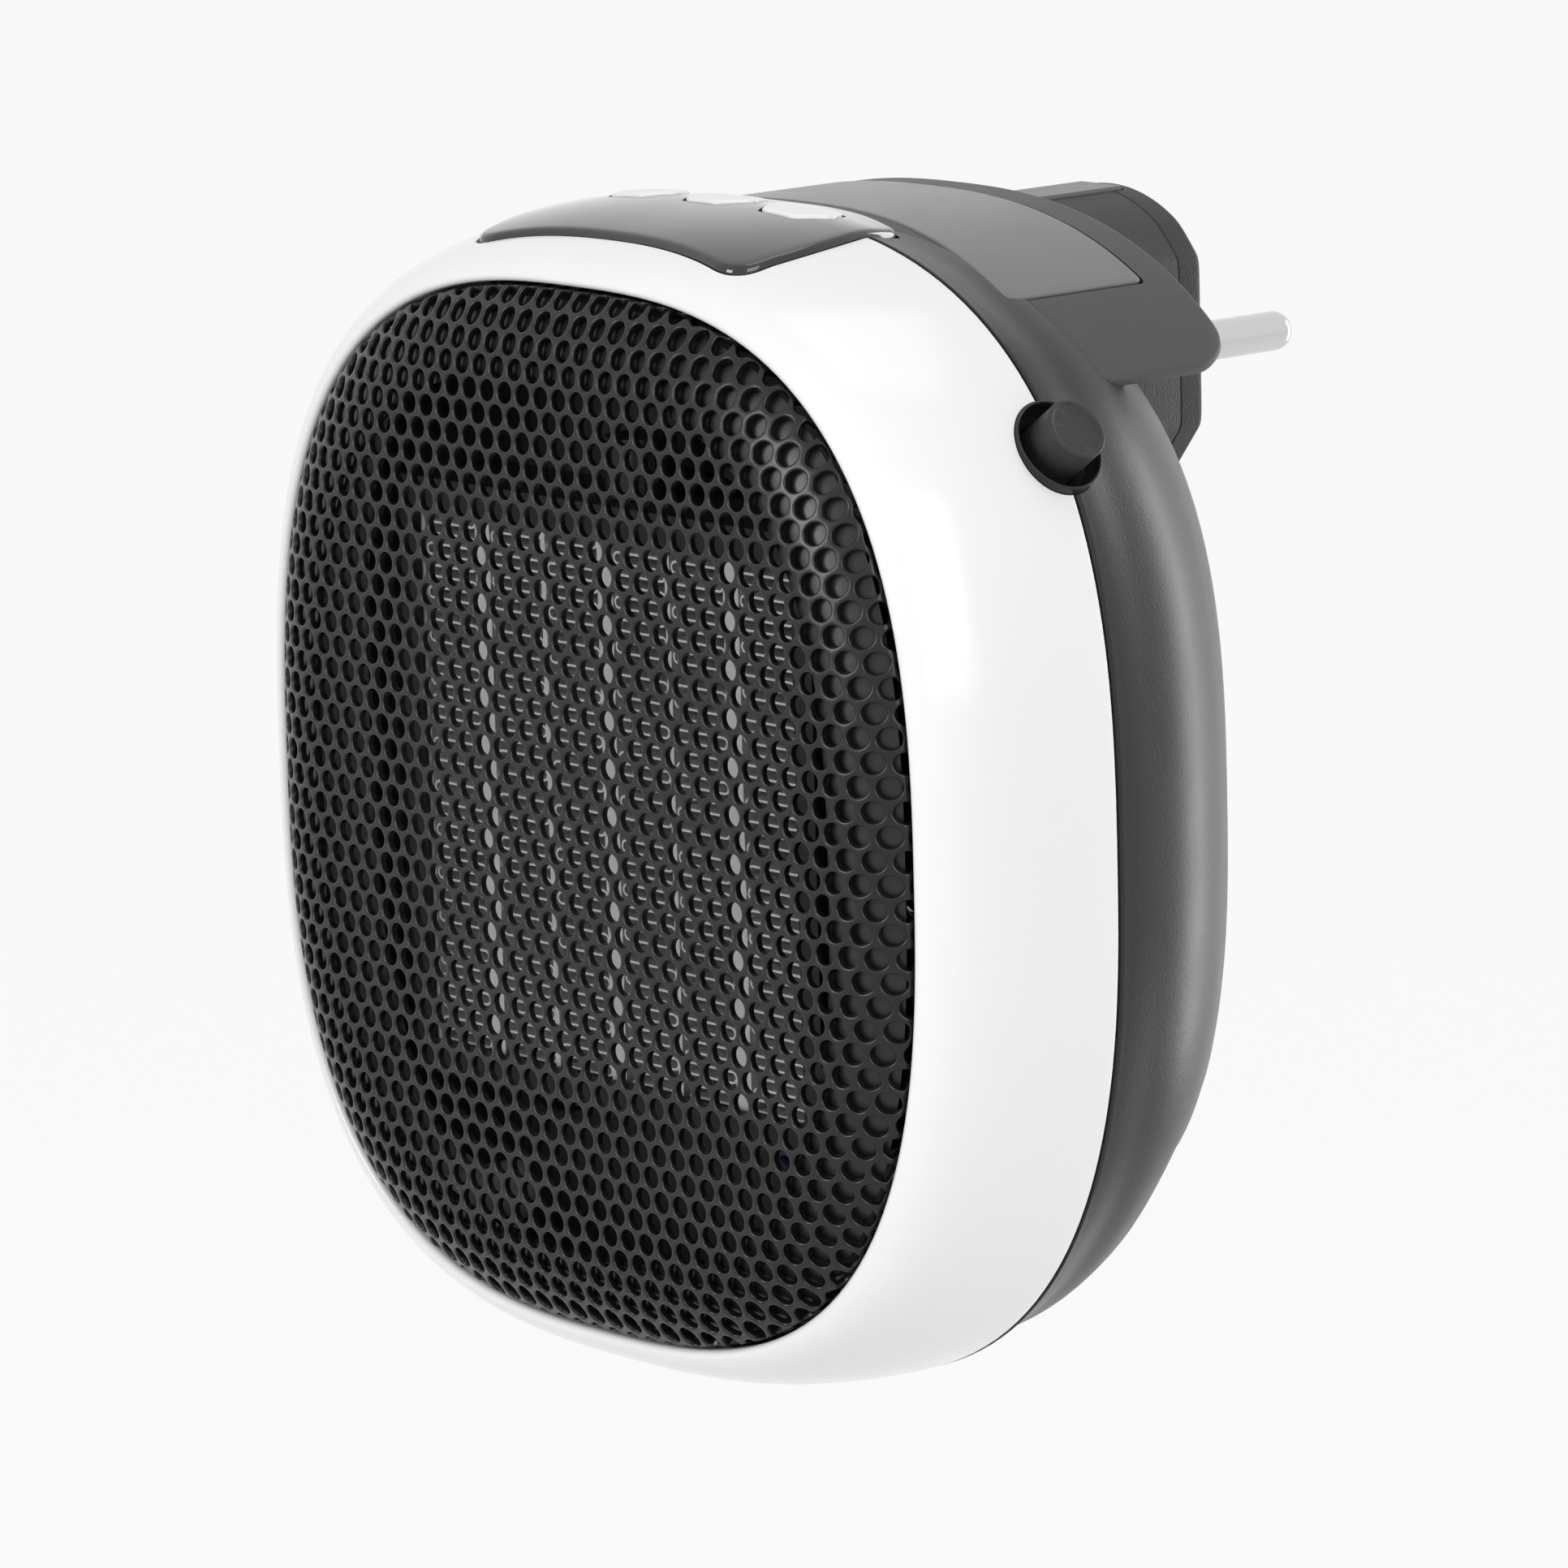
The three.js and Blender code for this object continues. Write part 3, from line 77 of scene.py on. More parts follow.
# How far the rear shell draws in up to its shoulder and on to its deck, as shares of the way back
# and of the inset
SHOULDER_INSET, DECK_INSET, INSET_Z_SHARE = 12.0, 17.0, 0.8
REAR_INSET = SHOULDER_INSET + DECK_INSET
MAIN_SHARES = [(0, 0), (.28, .11), (.48, .17), (.68, .31), (.82, .46), (.93, .68), (1, 1)]
DECK_SHARES = [(0, 0), (.05, .01), (.25, .05), (.5, .15), (.7, .35), (.87, .61), (1, 1)]


def columns(*values):
    return np.stack(values, -1)


def to_row(points):
    return (np.asarray(points, float) - OFFSET) * MM


def monotone(table, x):
    """A smooth curve through the table that never turns back."""
    xs, ys = np.array(table, float).T
    step = np.diff(xs)
    slope = np.diff(ys) / step
    turn = np.empty_like(xs)
    turn[1:-1] = 2 * slope[:-1] * slope[1:] / (slope[:-1] + slope[1:])
    turn[0] = 1.5 * slope[0] - 0.5 * turn[1]
    turn[-1] = 1.5 * slope[-1] - 0.5 * turn[-2]
    k = np.clip(np.searchsorted(xs, x) - 1, 0, len(step) - 1)
    t = (x - xs[k]) / step[k]
    a = (1 + 2 * t) * (1 - t) ** 2 * ys[k] + t * (1 - t) ** 2 * step[k] * turn[k]
    return a + t * t * (3 - 2 * t) * ys[k + 1] + t * t * (t - 1) * step[k] * turn[k + 1]


def smoothstep(x, low, high):
    t = np.clip((x - low) / (high - low), 0, 1)
    return t * t * (3 - 2 * t)


def rear_inset(y):
    main = np.clip((y - SEAM_Y) / (SHOULDER_Y - SEAM_Y), 0, 1)
    deck = np.clip((y - SHOULDER_Y) / (REAR_Y - SHOULDER_Y), 0, 1)
    return SHOULDER_INSET * monotone(MAIN_SHARES, main) + DECK_INSET * monotone(DECK_SHARES, deck)


def section(y):
    """Half sizes and squareness of the outer skin at each y."""
    y = np.asarray(y, float)
    run = np.clip((y - FRONT_Y) / (SEAM_Y - FRONT_Y), 0, 1)
    growth = np.sqrt(1 - (1 - run) ** 2)
    inset = rear_inset(y)
    half_x = OPEN_X + RIM_X * growth - inset
    half_z = OPEN_Z + RIM_Z * growth - INSET_Z_SHARE * inset
    square = FRONT_N + (REAR_N - FRONT_N) * smoothstep(y, SEAM_Y, VISOR_Y)
    square = square + (DECK_N - REAR_N) * smoothstep(y, SHOULDER_Y, SHOULDER_Y + DECK_BLEND)
    return half_x, half_z, square


def curve_height(x, half_x, half_z, square):
    share = np.clip(np.abs(x) / half_x, 0, 1)
    return half_z * (1 - share ** square) ** (1 / square)


def skin_height(x, y):
    return curve_height(x, *section(y))


def squircle(half_x, half_z, square, y, angles):
    """A rounded square in the plane y."""
    c, s = np.cos(angles), np.sin(angles)
    x = half_x * np.sign(c) * np.abs(c) ** (2 / square)
    z = half_z * np.sign(s) * np.abs(s) ** (2 / square)
    return columns(x, np.full_like(x, y), z)


def run_along(points):
    """The length of the polyline up to each of its points."""
    steps = np.linalg.norm(np.diff(points, axis=0), axis=1)
    return np.concatenate([[0], np.cumsum(steps)])


def even_angles(count):
    """Angles that lie evenly along the seam."""
    fine = np.linspace(0, 2 * pi, 20001)
    run = run_along(squircle(SEAM_X, SEAM_Z, FRONT_N, 0, fine))
    return np.interp(np.arange(count) / count * run[-1], run, fine)


ANGLES = even_angles(200)


def circle_of(radius, count):
    """Points round a circle, as their two coordinates."""
    turn = np.arange(count) / count * 2 * pi
    return radius * np.cos(turn), radius * np.sin(turn)


# Outlines are rows of two coordinates, and at_y() and at_z() place them in space

def at_y(outline, y):
    return columns(outline[:, 0], np.full(len(outline), y), outline[:, 1])


def at_z(outline, z):
    return columns(outline[:, 0], outline[:, 1], np.full(len(outline), z))


def box(low_x, high_x, low_y, high_y):
    return np.array([(low_x, low_y), (high_x, low_y), (high_x, high_y), (low_x, high_y)], float)


def rounded(points, radius, steps=4, closed=False):
    """The polyline with each corner turned into an arc; radius is one number or one a corner."""
    points = np.asarray(points, float)
    count = len(points)
    radii = np.broadcast_to(np.asarray(radius, float), (count,))
    nearly_straight = 1.55
    out = []
    for i, p in enumerate(points):
        if not closed and i in (0, count - 1) or radii[i] <= 0:
            out.append(p)
            continue
        a, b = points[i - 1] - p, points[(i + 1) % count] - p
        la, lb = np.linalg.norm(a), np.linalg.norm(b)
        a, b = a / la, b / lb
        half = acos(np.clip(a @ b, -1, 1)) / 2
        if half > nearly_straight:
            out.append(p)
            continue
        reach = min(radii[i] / tan(half), 0.49 * la, 0.49 * lb)
        r = reach * tan(half)
        centre = p + (a + b) / np.linalg.norm(a + b) * r / sin(half)
        start, end = p + a * reach - centre, p + b * reach - centre
        full = acos(np.clip(start @ end / r / r, -1, 1))
        for t in np.arange(steps + 1) / steps:
            arm = sin((1 - t) * full) * start + sin(t * full) * end
            out.append(centre + arm / sin(full))
    return np.array(out)


def even(points, count, closed=True):
    """Points that lie evenly along the polyline."""
    points = np.asarray(points, float)
    if closed:
        points = np.concatenate([points, points[:1]])
    run = run_along(points)
    stops = np.arange(count) / (count if closed else count - 1) * run[-1]
    return np.stack([np.interp(stops, run, points[:, i]) for i in range(points.shape[1])], -1)


def softened(outline, width):
    """Rounds the corners of an evenly spaced closed outline."""
    step = np.linalg.norm(outline[1] - outline[0])
    reach = max(int(round(width / step / 2)), 1)
    near = [np.roll(outline, k, axis=0) for k in range(-reach, reach + 1)]
    return sum(near) / len(near)


def offset(outline, distance):
    """Moves an evenly spaced closed outline outwards by a distance."""
    along = np.roll(outline, -1, axis=0) - np.roll(outline, 1, axis=0)
    along /= np.linalg.norm(along, axis=1)[:, None]
    normal = columns(along[:, 1], -along[:, 0])
    x, y = outline.T
    if np.sum(x * np.roll(y, -1) - np.roll(x, -1) * y) < 0:
        normal = -normal
    return outline + normal * distance


def quadratic(start, control, end, steps=24):
    t = np.linspace(0, 1, steps, endpoint=False)[:, None]
    start, control, end = (np.array(p, float) for p in (start, control, end))
    return (1 - t) ** 2 * start + 2 * t * (1 - t) * control + t * t * end


# Parts are pairs of a vertex array and a list of faces, in millimetres

def lattice(rows, cols, close_rows=False):
    """Faces between rows of points, each row closed on itself."""
    r = np.arange(rows if close_rows else rows - 1)[:, None]
    c = np.arange(cols)[None]
    here, there = r * cols, (r + 1) % rows * cols
    after = (c + 1) % cols
    faces = columns(here + c, here + after, there + after, there + c)
    return faces.reshape(-1, 4).tolist()


def loft(rings, loop=False, caps=True):
    rings = np.asarray(rings, float)
    rows, cols = rings.shape[:2]
    faces = lattice(rows, cols, loop)
    if caps and not loop:
        for start in (0, (rows - 1) * cols):
            faces.append(tuple(range(start, start + cols)))
    return rings.reshape(-1, 3), faces


def joined(*parts):
    verts, faces, base = [], [], 0
    for v, f in parts:
        verts.append(v)
        faces.extend([tuple(i + base for i in face) for face in f])
        base += len(v)
    return np.concatenate(verts), faces


def slab(outline, depth, place, edge=0.4, low_edge=0.2, rings=12, steps=4):
    """A plate with rounded edges; place(points, height) bends it into its surface."""
    arcs = np.linspace(0, pi / 2, steps + 1)
    sides = [(-edge * (1 - sin(a)), -edge * (1 - cos(a))) for a in arcs]
    sides += [(-low_edge * (1 - cos(a)), -depth + low_edge * (1 - sin(a))) for a in arcs]
    middle = outline.mean(0)
    inner = offset(outline, -edge)
    lower = offset(outline, -low_edge)
    shares = np.linspace(0, 1, rings + 1)[:-1]
    rows = [place(middle + (inner - middle) * s, 0) for s in shares]
    rows += [place(offset(outline, margin), height) for margin, height in sides]
    rows += [place(middle + (lower - middle) * s, -depth) for s in shares[::-1]]
    return loft(rows, caps=False)


def prism_z(outline, low, high):
    return loft([at_z(outline, low), at_z(outline, high)])


def lathe(profile, steps, place):
    """Turns (radius, height) points about an axis; place(x, height, z) puts them in space."""
    profile = np.asarray(profile, float)
    r, h = profile[:, 0][:, None], profile[:, 1][:, None]
    across, up = circle_of(r, steps)
    rings = place(across, h + 0 * across, up)
    closed = np.allclose(profile[0], profile[-1])
    return loft(rings[:-1] if closed else rings, loop=closed, caps=False)


def turned(points, edges, arc_steps, steps, place, closed=False):
    """Rounds the corners of a profile and turns it about an axis."""
    profile = rounded(points, edges, arc_steps, closed)
    if closed:
        profile = np.concatenate([profile, profile[:1]])
    return lathe(profile, steps, place)


def rod(radius, low, high, steps, place, edge=0):
    return turned([(0, low), (radius, low), (radius, high), (0, high)], edge, 2, steps, place)


def on_y(centre_x, centre_z):
    """Places a lathe's axis along y."""
    return lambda x, h, z: columns(x + centre_x, h, z + centre_z)


def on_z(centre_x, centre_y):
    """Places a lathe's axis upright."""
    return lambda x, h, y: columns(x + centre_x, y + centre_y, h)


# Blender objects

MERGE, SHARP = 1e-7, 35


def shaded(mesh, sharp=SHARP):
    mesh.shade_smooth()
    mesh.set_sharp_from_angle(angle=radians(sharp))
    return mesh


def mesh_of(name, part, sharp=SHARP):
    verts, faces = part
    mesh = bpy.data.meshes.new(name)
    mesh.from_pydata(to_row(verts).tolist(), [], faces)
    bm = bmesh.new()
    bm.from_mesh(mesh)
    bmesh.ops.remove_doubles(bm, verts=bm.verts, dist=MERGE)
    bmesh.ops.recalc_face_normals(bm, faces=bm.faces)
    if bm.calc_volume(signed=True) < 0:
        bmesh.ops.reverse_faces(bm, faces=bm.faces)
    bm.to_mesh(mesh)
    bm.free()
    return shaded(mesh, sharp)


def linked(name, data):
    obj = bpy.data.objects.new(name, data)
    bpy.context.scene.collection.objects.link(obj)
    return obj


def show(name, mesh, material, body, replaces=()):
    obj = linked(name, mesh)
    mesh.materials.clear()
    mesh.materials.append(material)
    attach(obj, body)
    if replaces:
        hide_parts(*replaces)


def piece(name, part, material, body, replaces=(), sharp=SHARP):
    show(name, mesh_of(name, part, sharp), material, body, replaces)


def carved(name, part, tools, solver="EXACT"):
    """The part with the tools cut from it, shaded as the uncut part where its surface is left."""
    reference = mesh_of(name + "_whole", part)
    base = linked(name + "_base", reference)
    helpers = [base]
    for k, tool in enumerate(tools):
        helper = linked(f"{name}_tool_{k}", mesh_of(f"{name}_tool_{k}", tool))
        helpers.append(helper)
        cut = base.modifiers.new("cut", "BOOLEAN")
        cut.operation = "DIFFERENCE"
        cut.solver = solver
        cut.object = helper
    graph = bpy.context.evaluated_depsgraph_get()
    mesh = bpy.data.meshes.new_from_object(base.evaluated_get(graph))
    mesh.name = name
    borrow_normals(shaded(mesh), reference)
    for helper in helpers:
        data = helper.data
        bpy.data.objects.remove(helper)
        bpy.data.meshes.remove(data)
    return mesh


def borrow_normals(mesh, reference):
    """Gives the mesh the reference's shading where their surfaces coincide."""
    inwards, near, same_way, shortest = 0.02, 2e-5, 0.94, 0.1
    corners = [p.co.copy() for p in reference.vertices]
    polygons = [tuple(p.vertices) for p in reference.polygons]
    starts = [p.loop_start for p in reference.polygons]
    bent = [n.vector.copy() for n in reference.corner_normals]
    tree = BVHTree.FromPolygons(corners, polygons)
    own = [n.vector.copy() for n in mesh.corner_normals]
    for face in mesh.polygons:
        for loop in face.loop_indices:
            corner = mesh.vertices[mesh.loops[loop].vertex_index].co
            spot, normal, index, distance = tree.find_nearest(corner.lerp(face.center, inwards))
            if spot is None or distance > near or normal.dot(face.normal) < same_way:
                continue
            ring = [corners[i] for i in polygons[index]]
            total = Vector((0, 0, 0))
            for k, weight in enumerate(poly_3d_calc(ring, spot)):
                total += bent[starts[index] + k] * weight
            if total.length > shortest:
                own[loop] = total.normalized()
    mesh.normals_split_custom_set(own)


# Materials: each is a principled shader with fine grain, slow colour drift and uneven gloss. A
# grain is its noise's scale, its bump's strength and its bump's height in millimetres.

DRIFT_SCALE, GLOSS_SCALE, SMOOTHEST = 35.0, 120.0, 0.02
# Convex edges are lightened between these pointiness values, partly as rubbed wear and partly as a
# painted highlight where edges catch the light
WEAR_SHEEN_FROM, WEAR_SHEEN_TO, WEAR_SHEEN_GAIN, WEAR_SHEEN_LIFT = 0.5, 0.62, 2.2, 0.03


def put(node, **values):
    """Sets inputs of a node; an underscore stands for a space in their names."""
    for name, value in values.items():
        node.inputs[name.replace("_", " ")].default_value = value
    return node


def material(name, colour, roughness, grain, metallic=0.0, drift=0.06, uneven=0.05, coat=0.0,
             coat_rough=0.05, specular=0.5, stretch=(1, 1, 1), wear_and_sheen=0.0):
    mat = bpy.data.materials.new(name)
    mat.use_nodes = True
    nodes, links = mat.node_tree.nodes, mat.node_tree.links
    shader = put(nodes["Principled BSDF"], Metallic=metallic, Coat_Weight=coat,
                 Coat_Roughness=coat_rough, Specular_IOR_Level=specular)
    where = nodes.new("ShaderNodeTexCoord")
    space = put(nodes.new("ShaderNodeMapping"), Scale=stretch)
    links.new(where.outputs["Object"], space.inputs["Vector"])

    def noise(scale, detail=3.0):
        node = put(nodes.new("ShaderNodeTexNoise"), Scale=scale, Detail=detail)
        links.new(space.outputs[0], node.inputs["Vector"])
        return node.outputs["Fac"]

    def blend(share, low, high):
        node = nodes.new("ShaderNodeMix")
        node.data_type = "RGBA"
        links.new(share, node.inputs[0])
        for socket, value in ((node.inputs[6], low), (node.inputs[7], high)):
            if isinstance(value, list):
                socket.default_value = (*[min(c, 1) for c in value], 1)
            else:
                links.new(value, socket)
        return node.outputs[2]

    tinted = blend(noise(DRIFT_SCALE), [c * (1 - drift) for c in colour],
                   [c * (1 + drift) for c in colour])
    # Lighter convex edges: rubbed wear together with a painted edge highlight
    if wear_and_sheen:
        geometry = nodes.new("ShaderNodeNewGeometry")
        edge = put(nodes.new("ShaderNodeMapRange"), From_Min=WEAR_SHEEN_FROM, From_Max=WEAR_SHEEN_TO,
                   To_Max=wear_and_sheen)
        links.new(geometry.outputs["Pointiness"], edge.inputs["Value"])
        tinted = blend(edge.outputs[0], tinted, [c * WEAR_SHEEN_GAIN + WEAR_SHEEN_LIFT for c in colour])
    links.new(tinted, shader.inputs["Base Color"])
    spread = put(nodes.new("ShaderNodeMapRange"), To_Min=max(roughness - uneven, SMOOTHEST),
                 To_Max=min(roughness + uneven, 1))
    links.new(noise(GLOSS_SCALE), spread.inputs["Value"])
    links.new(spread.outputs[0], shader.inputs["Roughness"])
    scale, strength, height = grain
    if strength:
        bump = put(nodes.new("ShaderNodeBump"), Strength=strength, Distance=height * MM)
        links.new(noise(scale, 2.0), bump.inputs["Height"])
        links.new(bump.outputs["Normal"], shader.inputs["Normal"])
    return mat


WHITE = material("white_gloss", (0.86, 0.86, 0.86), 0.18, (420, 0.10, 0.03), drift=0.012,
                 uneven=0.03, coat=0.15, specular=0.35)
GREY = material("grey_satin", (0.018, 0.018, 0.019), 0.34, (2800, 0.6, 0.035), drift=0.08,
                specular=0.24, wear_and_sheen=0.12)
VISOR = material("grey_grain", (0.050, 0.050, 0.051), 0.52, (3200, 1.0, 0.07), drift=0.08,
                 specular=0.4, wear_and_sheen=0.18)
LABEL = material("label_satin", (0.150, 0.150, 0.152), 0.33, (3600, 0.3, 0.02))
SHEET = material("powder_black", (0.005, 0.005, 0.0055), 0.27, (1500, 0.25, 0.02),
                 drift=0.1, specular=0.40, wear_and_sheen=0.03)
BACKING = material("backing_black", (0.011, 0.011, 0.0115), 0.33, (2000, 0.45, 0.03),
                   drift=0.15, specular=0.45)
PANEL = material("black_gloss", (0.006, 0.006, 0.007), 0.06, (300, 0.03, 0.02), drift=0.1,
                 uneven=0.015, coat=0.5, coat_rough=0.03)
KEY = material("key_pale", (0.84, 0.84, 0.84), 0.30, (2600, 0.15, 0.02), drift=0.02)
CUP = material("cup_grey", (0.012, 0.012, 0.013), 0.40, (2600, 0.3, 0.03), specular=0.3,
               wear_and_sheen=0.15)
BUTTON = material("button_black", (0.020, 0.020, 0.021), 0.50, (3000, 0.6, 0.05),
                  specular=0.35, wear_and_sheen=0.2)
MATT = material("frame_black", (0.014, 0.014, 0.015), 0.55, (2400, 0.4, 0.04))
FAN = material("fan_black", (0.018, 0.018, 0.019), 0.45, (2400, 0.2, 0.03))
PLUG = material("plug_black", (0.022, 0.022, 0.023), 0.56, (3200, 1.0, 0.08), drift=0.1,
                specular=0.35, wear_and_sheen=0.12)
ALLOY = material("core_aluminium", (0.86, 0.86, 0.87), 0.42, (2600, 0.25, 0.02), 0.55,
                 drift=0.05, uneven=0.08, stretch=(1, 0.05, 1))
STEEL = material("steel_zinc", (0.50, 0.51, 0.53), 0.32, (1800, 0.2, 0.02), 1.0,
                 drift=0.08, uneven=0.08)
NICKEL = material("pin_nickel", (0.60, 0.60, 0.60), 0.17, (1600, 0.12, 0.01), 1.0,
                  drift=0.04, uneven=0.06, stretch=(1, 0.08, 1))
FIN = material("fin_aluminium", (0.88, 0.88, 0.89), 0.48, (2600, 0.25, 0.02), 1.0,
               drift=0.05, uneven=0.08)
# The earth strips' nickel is darkened as painted shade, for the shadow they lie in and the dark
# they reflect
SHADED_CLIP = material("clip_painted_shade", (0.17, 0.17, 0.175), 0.42, (1800, 0.3, 0.02), 0.8,
                drift=0.1, uneven=0.08)
DARK = material("cutout_dark", (0.03, 0.03, 0.032), 0.5, (1800, 0.3, 0.02), 0.4)
BOARD = material("board_green", (0.005, 0.034, 0.014), 0.42, (900, 0.3, 0.03), drift=0.15)
RELAY = material("relay_blue", (0.03, 0.08, 0.30), 0.38, (2400, 0.25, 0.03))
YELLOW = material("capacitor_yellow", (0.62, 0.42, 0.05), 0.35, (2400, 0.25, 0.03))
SWITCH = material("switch_black", (0.02, 0.02, 0.022), 0.5, (2400, 0.3, 0.03))
DISPLAY = material("display_black", (0.008, 0.008, 0.009), 0.12, (900, 0.05, 0.02))
BROWN = material("lead_brown", (0.035, 0.014, 0.007), 0.5, (1500, 0.3, 0.03))
BLUE = material("lead_blue", (0.007, 0.018, 0.075), 0.5, (1500, 0.3, 0.03))

# Either shell ends just short of the seam, and these insets and distances round its edge there
FRONT_END_Y, REAR_START_Y = SEAM_Y - SEAM_GAP, SEAM_Y + SEAM_GAP
SEAM_ROUND = [(0.25, 0), (0.07, 0.07), (0, 0.25)]

# Cutting tools reach this far or a little more beyond what they cut, and have nearly sharp edges
TOOL_EXTRA, TOOL_EDGE = 3.0, 0.01


def outline_point(half_x, half_z, turn):
    """Where a direction meets a rounded square that is as square as the opening."""
    share = 2 / FRONT_N
    return half_x * cos(turn) ** share, half_z * sin(turn) ** share


def cutter(outline, depth, bent_at, rings):
    """A slab that cuts a pocket of this depth; bent_at(lift) gives the place for slab()."""
    return slab(outline, depth + TOOL_EXTRA, bent_at(TOOL_EXTRA), TOOL_EDGE, TOOL_EDGE, rings, 1)


# Button axis: heights run outwards from the seam's outline, and the axis leans upwards
BUTTON_TURN, BUTTON_LEAN = radians(35.1), radians(35.8)
BUTTON_X, BUTTON_Z = outline_point(SEAM_X, SEAM_Z, BUTTON_TURN)


def on_button(x, h, z):
    c, s = cos(BUTTON_LEAN), sin(BUTTON_LEAN)
    return columns(h * c - z * s + BUTTON_X, SEAM_Y - x, h * s + z * c + BUTTON_Z)


# Control panel: its half widths in plan, its ends along y, and how its edges curve
PANEL_FRONT, PANEL_SIDE, PANEL_REAR = 24.4, 26.6, 22.0
PANEL_Y, PANEL_END_Y, PANEL_SAG, PANEL_BULGE, PANEL_CORNER = 10.6, 36.4, 1.6, 3.8, 4.2
PANEL_PROUD, PANEL_SUNK, PANEL_LEDGE, BOARD_TOP_Z = 0.8, 0.9, 2.4, 59.6
OUTLINE_SOFT, SEAM_SOFT = 1.6, 2.5


def panel_outline(margin, count=260):
    front, side, rear = PANEL_FRONT + margin, PANEL_SIDE + margin, PANEL_REAR + margin
    low, high = PANEL_Y - margin, PANEL_END_Y + margin
    middle, bend = (low + high) / 2, PANEL_CORNER
    curves = [
        ((rear, high), (0, high + 2 * PANEL_BULGE), (-rear, high)),
        ((-rear, high), (-side, middle), (-front, low + bend)),
        ((-front, low + bend), (-front, low), (-front + bend, low)),
        ((-front + bend, low), (0, low + 2 * PANEL_SAG), (front - bend, low)),
        ((front - bend, low), (front, low), (front, low + bend)),
        ((front, low + bend), (side, middle), (rear, high)),
    ]
    outline = np.concatenate([quadratic(*curve) for curve in curves])
    return softened(even(outline, count), OUTLINE_SOFT)


def soft_skin(x, y):
    """Height of the skin, smoothed over the seam."""
    near = [skin_height(x, y + share * SEAM_SOFT) for share in (-1, -0.5, 0, 0.5, 1)]
    return sum(near) / len(near)


def on_skin(lift):
    """Lays a slab on the top of the shells."""
    def place(points, height):
        return at_z(points, soft_skin(*points.T) + lift + height)
    return place


def pocket_tools():
    """The panel's pocket, and the hole in its floor that leaves a ledge all round."""
    pocket = cutter(panel_outline(GAP), PANEL_SUNK + GAP, on_skin, 8)
    return [pocket, prism_z(panel_outline(-PANEL_LEDGE), BOARD_TOP_Z, SEAM_Z + 4)]


CUP_RADIUS, CUP_DEPTH, CUP_PLAY = 5.7, 5.0, 0.1


def cup_tool():
    return rod(CUP_RADIUS + CUP_PLAY, -CUP_DEPTH - 2, 5, 72, on_button)


# Posts of both shells round the case screws, and the ribs of the front ones, which end in the wall
POST_TURN, POST_INSET = radians(56.5), 0.4
POST_X, POST_Z = outline_point(OPEN_X - POST_INSET, OPEN_Z - POST_INSET, POST_TURN)
POSTS = [(POST_X, POST_Z), (-POST_X, POST_Z), (-POST_X, -POST_Z), (POST_X, -POST_Z)]
POST_Y, POST_FLOOR, POST_RADIUS, POST_BORE, POST_EDGE, POST_STEPS = 12.0, 2.0, 3.8, 1.6, 0.3, 40
RIB_HALF, RIB_START, RIB_REACH_X, RIB_REACH_Z, RIB_END_Y = 1.2, 3.0, 12.0, 9.0, 22.4
RIB_LIMIT_X, RIB_LIMIT_Z = OPEN_X + 4.2, OPEN_Z + 3.8
REAR_POST_RADIUS, WELL_RADIUS, SCREW_HOLE_RADIUS = 4.6, 3.1, 1.8
SCREW_SEAT_Y, REAR_POST_SUNK = 45.0, 0.7

# The lip round the grille: its middle and rear along y, and the round of its edge
LIP_Y, LIP_REAR_Y, LIP_FILLET = 7.1, FRONT_Y + 2.6, 0.8


def front_shell():
    def y_at(share):
        return FRONT_Y + (SEAM_Y - FRONT_Y) * (1 - np.sqrt(1 - share * share))

    start = LIP_FILLET / RIM_X
    # Shares of the rim's width and y, from the back of the lip, round its edge and over the outside
    profile = [(0, LIP_REAR_Y), (0, LIP_Y)]
    for a in np.linspace(0, pi / 2, 7):
        profile.append((start * (1 - cos(a)), y_at(start) + LIP_FILLET * (1 - sin(a))))
    for a in np.linspace(asin(start), pi / 2, 34)[1:-1]:
        profile.append((sin(a), y_at(sin(a))))
    profile += [(1 - inset / RIM_X, FRONT_END_Y - run) for inset, run in SEAM_ROUND[::-1]]
    rings = []
    for share, y in profile:
        half_x, half_z = OPEN_X + RIM_X * share, OPEN_Z + RIM_Z * share
        rings.append(squircle(half_x, half_z, FRONT_N, y, ANGLES))
    # The inside, from the seam to the front
    for share in (1, 0.6, 0.36, 0.2, 0.105):
        y = FRONT_Y + share * (FRONT_END_Y - FRONT_Y)
        half_x, half_z, square = section(y)
        rings.append(squircle(half_x - WALL, half_z - WALL, square, y, ANGLES))
    return loft(rings, loop=True)


show("front_shell_skin", carved("front_shell_skin", front_shell(), [*pocket_tools(), cup_tool()]),
     WHITE, "housing", ["front_shell"])


def front_post(x, z):
    profile = [(0, POST_Y), (POST_RADIUS, POST_Y), (POST_RADIUS, FRONT_END_Y),
               (POST_BORE, FRONT_END_Y), (POST_BORE, POST_Y + POST_FLOOR), (0, POST_Y + POST_FLOOR)]
    parts = [turned(profile, POST_EDGE, 2, POST_STEPS, on_y(x, z))]
    for reach, order in ((RIB_REACH_Z, 1), (RIB_REACH_X, -1)):
        corners = box(-RIB_HALF, RIB_HALF, RIB_START, reach)[:, ::order]
        corners = corners * np.sign((x, z)) + (x, z)
        most = curve_height(corners[:, 0], RIB_LIMIT_X, RIB_LIMIT_Z, FRONT_N)
        corners[:, 1] = np.sign(corners[:, 1]) * np.minimum(np.abs(corners[:, 1]), most)
        most = curve_height(corners[:, 1], RIB_LIMIT_Z, RIB_LIMIT_X, FRONT_N)
        corners[:, 0] = np.sign(corners[:, 0]) * np.minimum(np.abs(corners[:, 0]), most)
        parts.append(loft([at_y(corners, y) for y in (POST_Y, RIB_END_Y)]))
    return joined(*parts)


piece("front_shell_posts", joined(*[front_post(*post) for post in POSTS]), WHITE, "housing",
      ["front_shell"])


